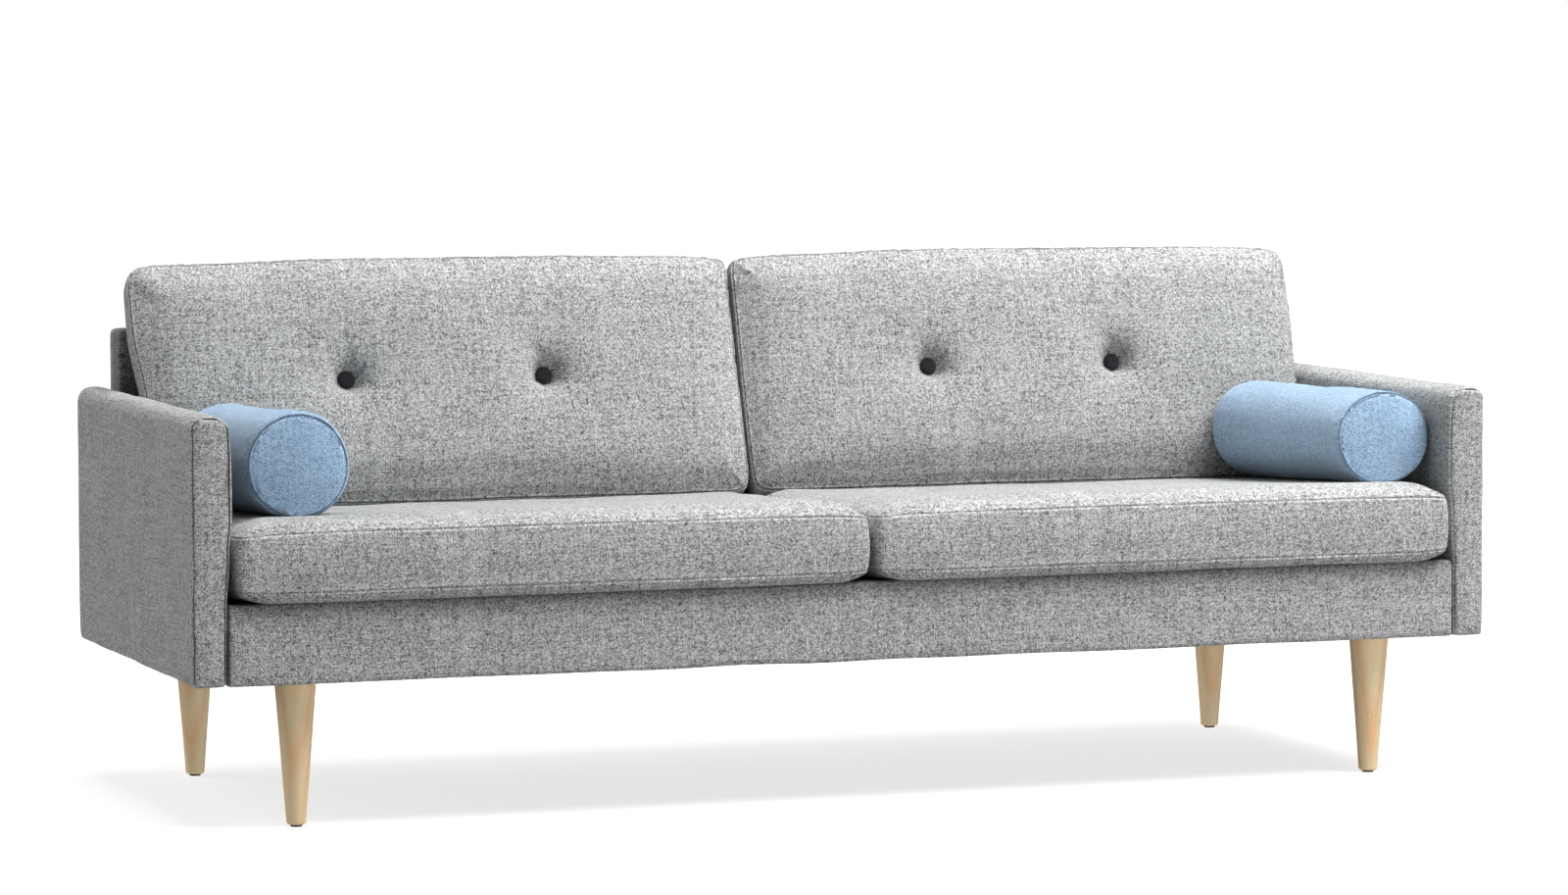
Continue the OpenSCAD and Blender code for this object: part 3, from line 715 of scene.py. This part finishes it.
def dimple(across, up, seed):
    """Depth of the tuft's hollow, from 0 to 1, with a few soft folds drawn in towards the button."""
    distance = np.hypot(across, up)
    beyond = np.maximum(distance - TUFT_RADIUS, 0)
    hollow = 0.5 * np.exp(-((beyond / (10 * MM)) ** 1.6)) + 0.5 * np.exp(-((beyond / (34 * MM)) ** 1.4))
    random = np.random.default_rng(seed)
    for fold in FOLD_ANGLES:
        turn = math.radians(fold + random.uniform(-12, 12))
        along = across * math.cos(turn) + up * math.sin(turn)
        off = up * math.cos(turn) - across * math.sin(turn)
        spread = 3 * MM + 0.10 * np.maximum(along, 0)
        reach = np.where(along > 0, np.exp(-np.maximum(along - TUFT_RADIUS, 0) / (26 * MM)), 0)
        outside = ease(distance, TUFT_RADIUS, TUFT_RADIUS + 5 * MM)
        hollow += FOLD_DEPTH * reach * np.exp(-((off / spread) ** 2)) * outside
    return hollow


def back_cushion(side):
    """A boxed cushion that leans on the back frame, its foot cut to lie along the seat, with two tufts."""
    body = f"back_cushion_{side}"
    cover = f"back_cushion_cover_{side}"
    lift, rotation = leaning(side)
    low, high = local_box([cover], rotation)
    width, thick, height = high - low
    seat_slide = JOINT_AXES[f"seat_cushion_{side}_slide"]
    foot_slope = math.tan(lift.angle(-seat_slide.cross(X_AXIS)))

    front_seam = -BACK_SEAM
    crown_y = 4 * MM
    taper = BACK_SWELL + BACK_TAPER
    rear = [(-thick, taper + 10 * MM), (-thick + 1.5 * MM, taper + 4 * MM)]
    border = []
    near_front = front_seam - np.array((10, 5, 2, 0)) * MM
    for y in (*np.linspace(-thick + 6 * MM, front_seam - 16 * MM, 7), *near_front):
        share = (front_seam - y) / (thick + front_seam)
        near_seam = max(0, 1 - (front_seam - y) / SEAM_TURN_DEPTH)
        border.append((y, BACK_SWELL + BACK_TAPER * share**2.2 + SEAM_TURN * near_seam**2))
    front = list(roll_stations(crown_y, front_seam, BACK_ROLL, BACK_SWELL + SEAM_TURN, 1.0))
    stations = rear + border + front
    seams = (len(rear), len(rear) + len(border) - 1)
    tops = (OUTER_TOP[side], INNER_TOP) if side == "left" else (INNER_TOP, OUTER_TOP[side])
    softness = (FOOT_CORNER, FOOT_CORNER, *tops)
    points, faces, rings = slab((0, width), (0, height), stations, BACK_CORNER, softness, FINE_CELL)
    obj = add_object(body, standing(points), faces, rings, seams)

    hold = hold_seams(points, rings, seams, BACK_HOLD)
    hold[points[:, 2] < -thick + 3 * MM] = 1.0
    centres = button_centres(side, rotation, low)
    inflate(obj, BACK_CAP, hold)

    points = points_of(obj)
    x, y, z = points.T
    forward = ease(-y, -thick / 2, 0)
    fullness = (1 - np.abs(2 * x / width - 1) ** 5) * (1 - np.abs(2 * z / height - 1) ** 4)
    y -= forward * BACK_CROWN * fullness
    z += TOP_PUFF * ease(z, 0.7 * height, height) * (1 - np.abs(2 * x / width - 1) ** 3)
    outward = OUTWARD[side]
    to_side = np.clip(outward * (2 * x / width - 1), 0, 1)
    x += outward * SIDE_PUFF[side] * to_side**3 * ease(z, 0.42 * height, 0.75 * height)
    y[:] = np.minimum(y, thick)
    z += foot_slope * np.clip(y, 0, thick) * np.clip(1 - z / FADE_HEIGHT, 0, 1) ** 2
    set_points(obj, points)
    subdivide(obj)

    points = points_of(obj)
    points += ripple(obj, points, 0.8 * MM, 190 * MM, 11 + len(side))
    x, y, z = points.T
    face = y < thick / 2
    for number, (button_x, button_z) in enumerate(centres):
        distance = np.hypot(x - button_x, z - button_z)
        hollow = dimple(x - button_x, z - button_z, 71 + number + len(side))
        y += np.where(face, hollow * (BUTTON_SEAT - y), 0)
        rear_hollow = np.exp(-((distance / REAR_HOLLOW_WIDTH) ** 4))
        y -= np.where(face, 0, rear_hollow * REAR_HOLLOW_DEPTH)
    points[:, 1] = np.minimum(points[:, 1], thick)
    set_points(obj, points)
    sew_seams(obj, depth=1.3 * MM, dark=0.55, light=0.28, tone=BACK_PAINTED_SHADE[side], seed=5)
    # painted shade at the foot, where the seat meets the cushion, and painted light over the top roll
    z = points_of(obj)[:, 2]
    lower = 1 - ease(z, 0, 0.55 * height)
    upper = ease(z, height - 60 * MM, height - 5 * MM)
    add_painted_shade(obj, FOOT_PAINTED_SHADE * lower - TOP_PAINTED_LIGHT * upper)
    place_piece(obj, rotation, low, body, "grey_cloth", cover, f"back_cushion_foam_{side}")


def covered_buttons(side):
    """Two cloth-covered buttons, domed, with the cloth gathered round their rims."""
    _, rotation = leaning(side)
    node = f"back_buttons_{side}"
    low, high = local_box([node], rotation)
    radius = (high[2] - low[2]) / 2
    height = high[1] - low[1]
    turns, steps = 40, 12
    points, faces = [], []
    for centre in (radius, high[0] - low[0] - radius):
        start = len(points)
        points.append((centre, height, radius))
        for ring in range(steps + 1):
            share = ring / steps
            angle = share * math.pi / 2
            for turn in range(turns):
                around = 2 * math.pi * turn / turns
                gather = 1 - 0.012 * (1 - share) * math.cos(10 * around)
                reach = radius * gather * math.cos(angle) ** 0.8
                rise = height * math.sin(angle) ** 0.75
                x, z = centre + reach * math.cos(around), radius + reach * math.sin(around)
                points.append((x, height - rise, z))
        faces += [(start, start + 1 + (turn + 1) % turns, start + 1 + turn) for turn in range(turns)]
        for ring in range(steps):
            base = start + 1 + ring * turns
            for turn in range(turns):
                after = (turn + 1) % turns
                faces.append((base + turn, base + after, base + turns + after, base + turns + turn))
    obj = add_object(f"covered_buttons_{side}", np.array(points), faces)
    bm = bmesh.new()
    bm.from_mesh(obj.data)
    bmesh.ops.remove_doubles(bm, verts=bm.verts, dist=0.01 * MM)
    bmesh.ops.recalc_face_normals(bm, faces=bm.faces)
    bm.to_mesh(obj.data)
    bm.free()
    obj.data.shade_smooth()
    place_piece(obj, rotation, low, f"back_cushion_{side}", "button_cloth", node)


# --- bolsters ---------------------------------------------

BOLSTER_TURN = {"left": 0.0, "right": math.radians(4.4)}
BOLSTER_SWELL = {"left": 4.0 * MM, "right": 1.5 * MM}  # how far the barrel fills out past its pattern
BOLSTER_SLACK = {"left": 1.5 * MM, "right": 4.5 * MM}  # how far the barrel's top sinks in its middle
END_BULGE = 12 * MM
END_SAG = {"left": 0.0, "right": 0.09}  # how much the front end has flattened and spread
END_SAG_LENGTH = 90 * MM
CAP_SHARES = (0, 0.12, 0.25, 0.4, 0.55, 0.7, 0.82, 0.92)  # where an end panel's rings lie, of its radius
NECK = 3.5 * MM  # how far the end seams are drawn in from the barrel
NECK_LENGTH = 22 * MM
BOLSTER_TURNS = 88
BOLSTER_HOLD = 0.9
BOLSTER_CAP = 2.5 * MM
LOW_PAINTED_SHADE = 0.35  # painted shade: how much darker the barrel is painted below and beside the arm


def turned_mesh(profile, turns):
    """A closed mesh of revolution about Y through (y, radius) rings; its first and last points are poles.

    Returns the points, the faces and the rings."""
    around = np.arange(turns) * 2 * math.pi / turns
    points = [np.array([[0, profile[0][0], 0]])]
    rings = []
    for number, (y, radius) in enumerate(profile[1:-1]):
        rings.append(1 + number * turns + np.arange(turns))
        ring = [radius * np.cos(around), np.full(turns, y), radius * np.sin(around)]
        points.append(np.stack(ring, axis=1))
    points.append(np.array([[0, profile[-1][0], 0]]))
    faces = []
    for ring, above in zip(rings, rings[1:]):
        faces += np.stack([ring, np.roll(ring, -1), np.roll(above, -1), above], axis=1).tolist()
    last = 1 + len(rings) * turns
    for turn in range(turns):
        after = (turn + 1) % turns
        faces.append([0, int(rings[0][after]), int(rings[0][turn])])
        faces.append([last, int(rings[-1][turn]), int(rings[-1][after])])
    return np.concatenate(points), faces, rings


def bolster(side):
    """A soft roll: a barrel panel, two round end panels and the seams between them."""
    body = f"bolster_{side}"
    nodes = [f"bolster_barrel_{side}", f"bolster_ends_{side}"]
    slide = JOINT_AXES[f"seat_cushion_{side}_slide"]
    level = rotation_from(-slide, X_AXIS.cross(-slide))
    rotation = Matrix.Rotation(BOLSTER_TURN[side], 3, "Z") @ level
    low, high = local_box(nodes, rotation)
    swell = BOLSTER_SWELL[side]
    radius = (high[0] - low[0]) / 2
    length = high[1] - low[1] - 2 * END_BULGE
    centre = ((low[0] + high[0]) / 2, low[1] + END_BULGE, (low[2] + high[2]) / 2 + swell)

    seam_radius = radius - NECK
    cap = [(END_BULGE * (1 - share**2.4), seam_radius * share) for share in CAP_SHARES]
    neck = []
    for share in (0, 0.15, 0.35, 0.6, 0.85):
        neck.append((share * NECK_LENGTH, seam_radius + (NECK + swell) * math.sqrt(1 - (1 - share) ** 2)))
    middle = [(y, radius + swell) for y in np.linspace(NECK_LENGTH, length - NECK_LENGTH, 36)]
    front = [(-out, reach) for out, reach in cap] + neck
    rear = [(length - y, reach) for y, reach in reversed(front)]
    points, faces, rings = turned_mesh(front + middle + rear, BOLSTER_TURNS)
    seams = (len(cap) - 1, len(rings) - len(cap))
    obj = add_object(body, points, faces, rings, seams)
    inflate(obj, BOLSTER_CAP, hold_seams(points, rings, seams, BOLSTER_HOLD))
    subdivide(obj)

    points = points_of(obj)
    x, y, z = points.T
    middle = np.exp(-(((y - 0.45 * length) / (0.17 * length)) ** 2)) * ease(z, 0, radius)
    z -= BOLSTER_SLACK[side] * middle
    sag = END_SAG[side] * np.exp(-((np.maximum(y + END_BULGE, 0) / END_SAG_LENGTH) ** 2))
    z -= sag * np.maximum(z, 0)
    x += sag * (x - 0.45 * radius)
    points += ripple(obj, points, 0.7 * MM, 120 * MM, 21 + len(side))
    points[:, 2] = np.maximum(points[:, 2], 0.5 * MM - radius - swell)
    set_points(obj, points)
    sew_seams(obj, depth=1.6 * MM, width=0.9 * MM, lip=0.6 * MM, dark=0.9, light=0.10, seed=9)
    # painted shade on the barrel's underside and on its side towards the arm
    points = points_of(obj)
    outward = OUTWARD[side]
    below = ease(-points[:, 2], 0.1 * radius, radius)
    beside = ease(outward * points[:, 0], 0.45 * radius, radius)
    on_barrel = ease(points[:, 1], 0, 2 * MM)
    add_painted_shade(obj, LOW_PAINTED_SHADE * np.maximum(below, beside) * on_barrel)
    place_piece(obj, rotation, centre, body, "blue_cloth", *nodes, f"bolster_filling_{side}")


# --- arms, front rail and back ----------------------------

ARM_BULGE = 9 * MM  # how far the arm's inner side swells above the seat
ARM_LEDGE = 123 * MM  # the rail's height on the arm
ARM_CORNER = 24 * MM
ARM_RISE = {"left": 7.5 * MM, "right": 3.5 * MM}  # how far the padding lifts the top
RISE_DEPTH = 150 * MM  # how far down the arm that is felt
STRIP_INNER, STRIP_OUTER, STRIP_TOP = 5.0 * MM, 1.8 * MM, 5.4 * MM  # the strip's margins
OUTER_SHADE = 0.75  # how dark the painted shade in the strip's seam is at its outer side and its top
INNER_SHADE = {"left": 0.55, "right": 0.1}
WRAP_SHARE = 0.6  # how dark the painted shade on the wrap's side of that seam is, of the strip's
INNER_PAINTED_SHADE = 0.22  # how much painted shade darkens the wrap's inner side


def arm_bulge(behind, up, height):
    """How far the inner side stands out: most above the seat and at the front, none at the rear."""
    above_seat = ease(up, 205 * MM, 250 * MM)
    at_front = 1 - ease(behind, 20 * MM, 90 * MM)
    beside_seat = ease(up, ARM_LEDGE - 5 * MM, ARM_LEDGE + 70 * MM)
    share = beside_seat * (0.3 + 0.25 * at_front) * (1 - above_seat)
    share += above_seat * (0.7 + 0.3 * at_front)
    share *= 1 - 0.35 * ease(up, height - 70 * MM, height)
    return ARM_BULGE * share * (1 - ease(behind, 560 * MM, 670 * MM))


def arm_seam_shade(side, x, width):
    """How dark the painted shade in the seam round an arm's strip is, across the arm."""
    inward = -OUTWARD[side]
    inner = ease(inward * (2 * x / width - 1), 0.2, 0.8)
    return OUTER_SHADE + (INNER_SHADE[side] - OUTER_SHADE) * inner


def arm(side):
    """The arm's wrapped sides and top, and the strip that faces its front, with a seam between them."""
    low, high = np.array(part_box(f"arm_cover_{side}"))
    width, depth, height = high - low
    inward = -OUTWARD[side]
    tops = (1.0, 0.9) if side == "right" else (0.9, 1.0)

    rear = in_mm([(0, 11), (1.2, 5), (4, 1.5), (9, 0)], -depth)
    sides = [(-y, 0) for y in np.linspace(depth - 20 * MM, 9 * MM, 46)]
    nose = in_mm([(-1, 0.2), (2.5, 0.9), (4.8, 1.9), (6.4, 3.2), (6.2, 3.9), (4.6, 4.4), (1.5, 4.8)])
    stations = rear + sides + nose
    points, faces, rings = slab((0, width), (0, height), stations, ARM_CORNER, (0.2, 0.2, *tops), FINE_CELL)
    wrap = add_object(f"arm_wrap_{side}", standing(points), faces)
    # painted shade on the wrap's inner side, and in the seam round the strip
    inner = ease(inward * (2 * points[:, 0] / width - 1), 0.6, 1.0)
    shade = INNER_PAINTED_SHADE * inner * (1 - ease(points[:, 1], height - 45 * MM, height - 15 * MM))
    for ring in rings[-2:]:
        shade[ring] = WRAP_SHARE * arm_seam_shade(side, points[ring, 0], width)
    mark_shade(wrap, shade)
    subdivide(wrap)
    points = points_of(wrap)
    x, y, z = points.T
    inner = ease(inward * (x - width / 2), 0, width / 2)
    x += inward * inner * arm_bulge(y, z, height)
    x -= inward * (1 - inner) * 1.5 * MM * ease(z, 0, 60 * MM) * (1 - np.abs(2 * y / depth - 1) ** 6)
    z += ARM_RISE[side] * ease(z, height - RISE_DEPTH, height)
    points += ripple(wrap, points, 0.5 * MM, 180 * MM, 31 + len(side))
    set_points(wrap, points)
    place_piece(wrap, UPRIGHT, low, "frame", "grey_cloth", f"arm_cover_{side}", f"arm_padding_{side}")

    margins = (STRIP_INNER, STRIP_OUTER) if side == "right" else (STRIP_OUTER, STRIP_INNER)
    span_u = (margins[0], width - margins[1])
    span_v = (0.5 * MM, height - STRIP_TOP)
    stations = in_mm([(1, 0.6), (4.6, 0), (6.2, 0.5), (7.4, 1.8), (8.0, 4.0), (8.2, 7.0)])
    points, faces, _ = slab(span_u, span_v, stations, 15 * MM, (0.1, 0.1, 0.9, 0.9), 6 * MM)
    strip = add_object(f"arm_front_strip_{side}", standing(points), faces)
    subdivide(strip)
    points = points_of(strip)
    x, y, z = points.T
    inner = ease(inward * (x - width / 2), -0.3 * width, width / 2)
    x += inward * inner * 0.9 * arm_bulge(np.zeros(len(x)), z, height)
    z += ARM_RISE[side] * ease(z, height - RISE_DEPTH, height)
    forward = ease(-y, 5 * MM, 8 * MM)
    y -= forward * 1.8 * MM * (1 - np.abs(2 * x / width - 1) ** 2)
    points += ripple(strip, points, 0.3 * MM, 60 * MM, 41)
    set_points(strip, points)
    # painted shade along the strip's edge, where the seam's shadow falls
    at_edge = 1 - ease(-points[:, 1], 6.6 * MM, 8.2 * MM)
    at_edge *= ease(points[:, 2], 3 * MM, 9 * MM)
    mark_shade(strip, arm_seam_shade(side, points[:, 0], width) * at_edge)
    place_piece(strip, UPRIGHT, low, "frame", "grey_cloth", f"arm_front_panel_{side}")


RAIL_END_SHADE, UNDER_SEAT_SHADE = 0.5, 0.6  # how dark the painted shade is beside the arms, and under the seat cushions' overhang
RAIL_PAINTED_LIGHT = 0.05  # painted light: how much lighter the rest is painted than its cloth


def front_rail_cloth():
    """The front rail's cover: pulled over a thin wadding from arm to arm, rounded at its edges."""
    low, high = np.array(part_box("front_rail_cover"))
    width, depth, height = high - low
    reach = 0.8 * MM  # the cloth fills the gap to the arms
    rear = in_mm([(0, 5), (2, 1), (6, 0)], -depth)
    front = in_mm([(-6, 0), (-4, 0.2), (-2.2, 1.0), (-0.8, 2.6), (-0.1, 5.0), (0, 9)])
    span_u = (-reach, width + reach)
    points, faces, _ = slab(span_u, (0, height), rear + front, 8 * MM, (0.1, 0.1, 0.8, 0.8))
    obj = add_object("front_rail_cloth", standing(points), faces)
    subdivide(obj)
    points = points_of(obj)
    y, z = points.T[1:]
    forward = ease(-y, -3 * MM, 0)
    y -= forward * 1.5 * MM * (1 - np.abs(2 * z / height - 1) ** 3)
    points += ripple(obj, points, 0.4 * MM, 220 * MM, 51)
    set_points(obj, points)
    # painted shade under the seat cushions' overhang and in the grooves beside the arms, and painted light
    # elsewhere
    end_gap = np.minimum(points[:, 0], width - points[:, 0])
    under_seat = UNDER_SEAT_SHADE * np.exp(-((np.maximum(height - points[:, 2], 0) / (15 * MM)) ** 1.2))
    at_end = RAIL_END_SHADE * np.exp(-((np.maximum(end_gap, 0) / (2 * MM)) ** 2))
    mark_shade(obj, at_end + under_seat - RAIL_PAINTED_LIGHT)
    place_piece(obj, UPRIGHT, low, "frame", "grey_cloth", "front_rail_cover")


BACK_FRAME_PAINTED_SHADE = 0.55  # painted shade: how much darker its front and the front of its ends are painted, beside the cushions


def back_frame_cloth():
    """The back frame's cover: a padded slab above the seat, and a skirt down the rear to the base."""
    low, high = np.array(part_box("back_cover"))
    width, depth, height = high - low
    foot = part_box("back_board")[0][2] - low[2]
    front = in_mm([(-5, 0), (-2, 1.5), (-0.5, 4), (0, 9)])
    rear = [(-depth - y, inset) for y, inset in reversed(front)]
    sides = [(y, 0) for y in np.linspace(-depth + 12 * MM, -12 * MM, 5)]
    points, faces, _ = slab((0, width), (foot, height), rear + sides + front, 12 * MM, (0.2, 0.2, 0.7, 0.7))
    slab_cloth = add_object("back_frame_cloth", standing(points), faces)
    subdivide(slab_cloth)
    points = points_of(slab_cloth)
    points += ripple(slab_cloth, points, 0.5 * MM, 220 * MM, 61)
    points[:, 1] = np.clip(points[:, 1], 0.2 * MM, depth - 0.2 * MM)
    set_points(slab_cloth, points)
    # painted shade on the front, fading towards the rear
    mark_shade(slab_cloth, BACK_FRAME_PAINTED_SHADE * (1 - ease(points[:, 1], 0.4 * depth, 0.95 * depth)))
    place_piece(slab_cloth, UPRIGHT, low, "frame", "grey_cloth", "back_cover", "back_padding")

    stations = in_mm([(0, 4), (0.5, 1), (3, 1), (3, 4)], -depth)
    points, faces, _ = slab((0, width), (0, foot + 4 * MM), stations, 8 * MM, (0.2, 0.2, 0.2, 0.2))
    skirt = add_object("back_skirt_cloth", standing(points), faces)
    subdivide(skirt)
    place_piece(skirt, UPRIGHT, low, "frame", "grey_cloth")


# --- studio -----------------------------------------------

FLOOR_REACH = 80
FLOOR_TONE = 0.45
FLOOR_GLOW = 0.74  # the light that the floor gives of its own
LIGHT_BELOW, LIGHT_ABOVE = 0.40, 0.08  # the surround's strength under the horizon and high above it
HORIZON = (-0.15, 0.25)  # between which heights it changes

# suns, as soft as the angle of sky that they fill, and panels: place, target, power and settings
LIGHTS = (
    ("overhead", "SUN", (0, 0, 0), (-0.15, 0.20, -1.0), 2.55, dict(angle=math.radians(40))),
    ("left_rear", "SUN", (0, 0, 0), (0.75, -0.45, -0.5), 1.2,
     dict(angle=math.radians(50), color=(1, 1, 0.94))),
    ("high_right", "AREA", (2.3, -1.0, 3.5), (0.3, 0, 0.4), 165,
     dict(shape="RECTANGLE", size=2.2, size_y=2.2)),
    ("low_front", "AREA", (1.3, -3.4, 0.4), (0.3, 0, 0.3), 38,
     dict(shape="RECTANGLE", size=3.0, size_y=0.5)))


def add_light(name, kind, place, target, power, settings):
    data = bpy.data.lights.new(name, kind)
    data.energy = power
    for setting, value in settings.items():
        setattr(data, setting, value)
    obj = add_to_scene(name, data)
    obj.location = place
    obj.rotation_euler = (Vector(target) - Vector(place)).to_track_quat("-Z", "Y").to_euler()


def add_floor():
    """A pale floor that gives a little light of its own, so that the shadow on it stays a light grey."""
    mesh = bpy.data.meshes.new("floor")
    corners = [(x * FLOOR_REACH, y * FLOOR_REACH, 0) for x, y in ((-1, -1), (1, -1), (1, 1), (-1, 1))]
    mesh.from_pydata(corners, [], [(0, 1, 2, 3)])
    floor = add_to_scene("floor", mesh)
    shader = Shader("floor_white", Roughness=0.9, Specular_IOR_Level=0.1, Emission_Strength=FLOOR_GLOW)
    shader.colour(rgb(FLOOR_TONE, FLOOR_TONE, FLOOR_TONE))
    shader.put(shader.surface.inputs["Emission Color"], rgb(1, 1, 1))
    floor.data.materials.append(shader.material)
    floor.visible_diffuse = floor.visible_glossy = False


def add_surround():
    """A white backdrop that lights the sofa softly: more from the pale floor's side than from above."""
    world = bpy.data.worlds.new("surround")
    bpy.context.scene.world = world
    nodes = Nodes(world)
    background = nodes.tree.nodes["Background"]
    nodes.put(background.inputs["Color"], rgb(1, 1, 1))
    direction = nodes.add("SeparateXYZ", {0: nodes.add("TexCoord").outputs["Generated"]})
    sockets = {0: direction.outputs[2], 1: HORIZON[0], 2: HORIZON[1], 3: LIGHT_BELOW, 4: LIGHT_ABOVE}
    strength = nodes.add("MapRange", sockets, interpolation_type="SMOOTHSTEP").outputs[0]
    is_seen = nodes.add("LightPath").outputs["Is Camera Ray"]
    nodes.put(background.inputs["Strength"], nodes.mix(is_seen, strength, 1.0))


def add_studio():
    add_floor()
    add_surround()
    for light in LIGHTS:
        add_light(*light)
    bpy.context.scene.view_settings.view_transform = "Standard"


# --- the whole --------------------------------------------

add_camera()
dress_cad_nodes()
for name in OUTWARD:
    seat_cushion(name)
    back_cushion(name)
    covered_buttons(name)
    bolster(name)
    arm(name)
front_rail_cloth()
back_frame_cloth()
add_studio()
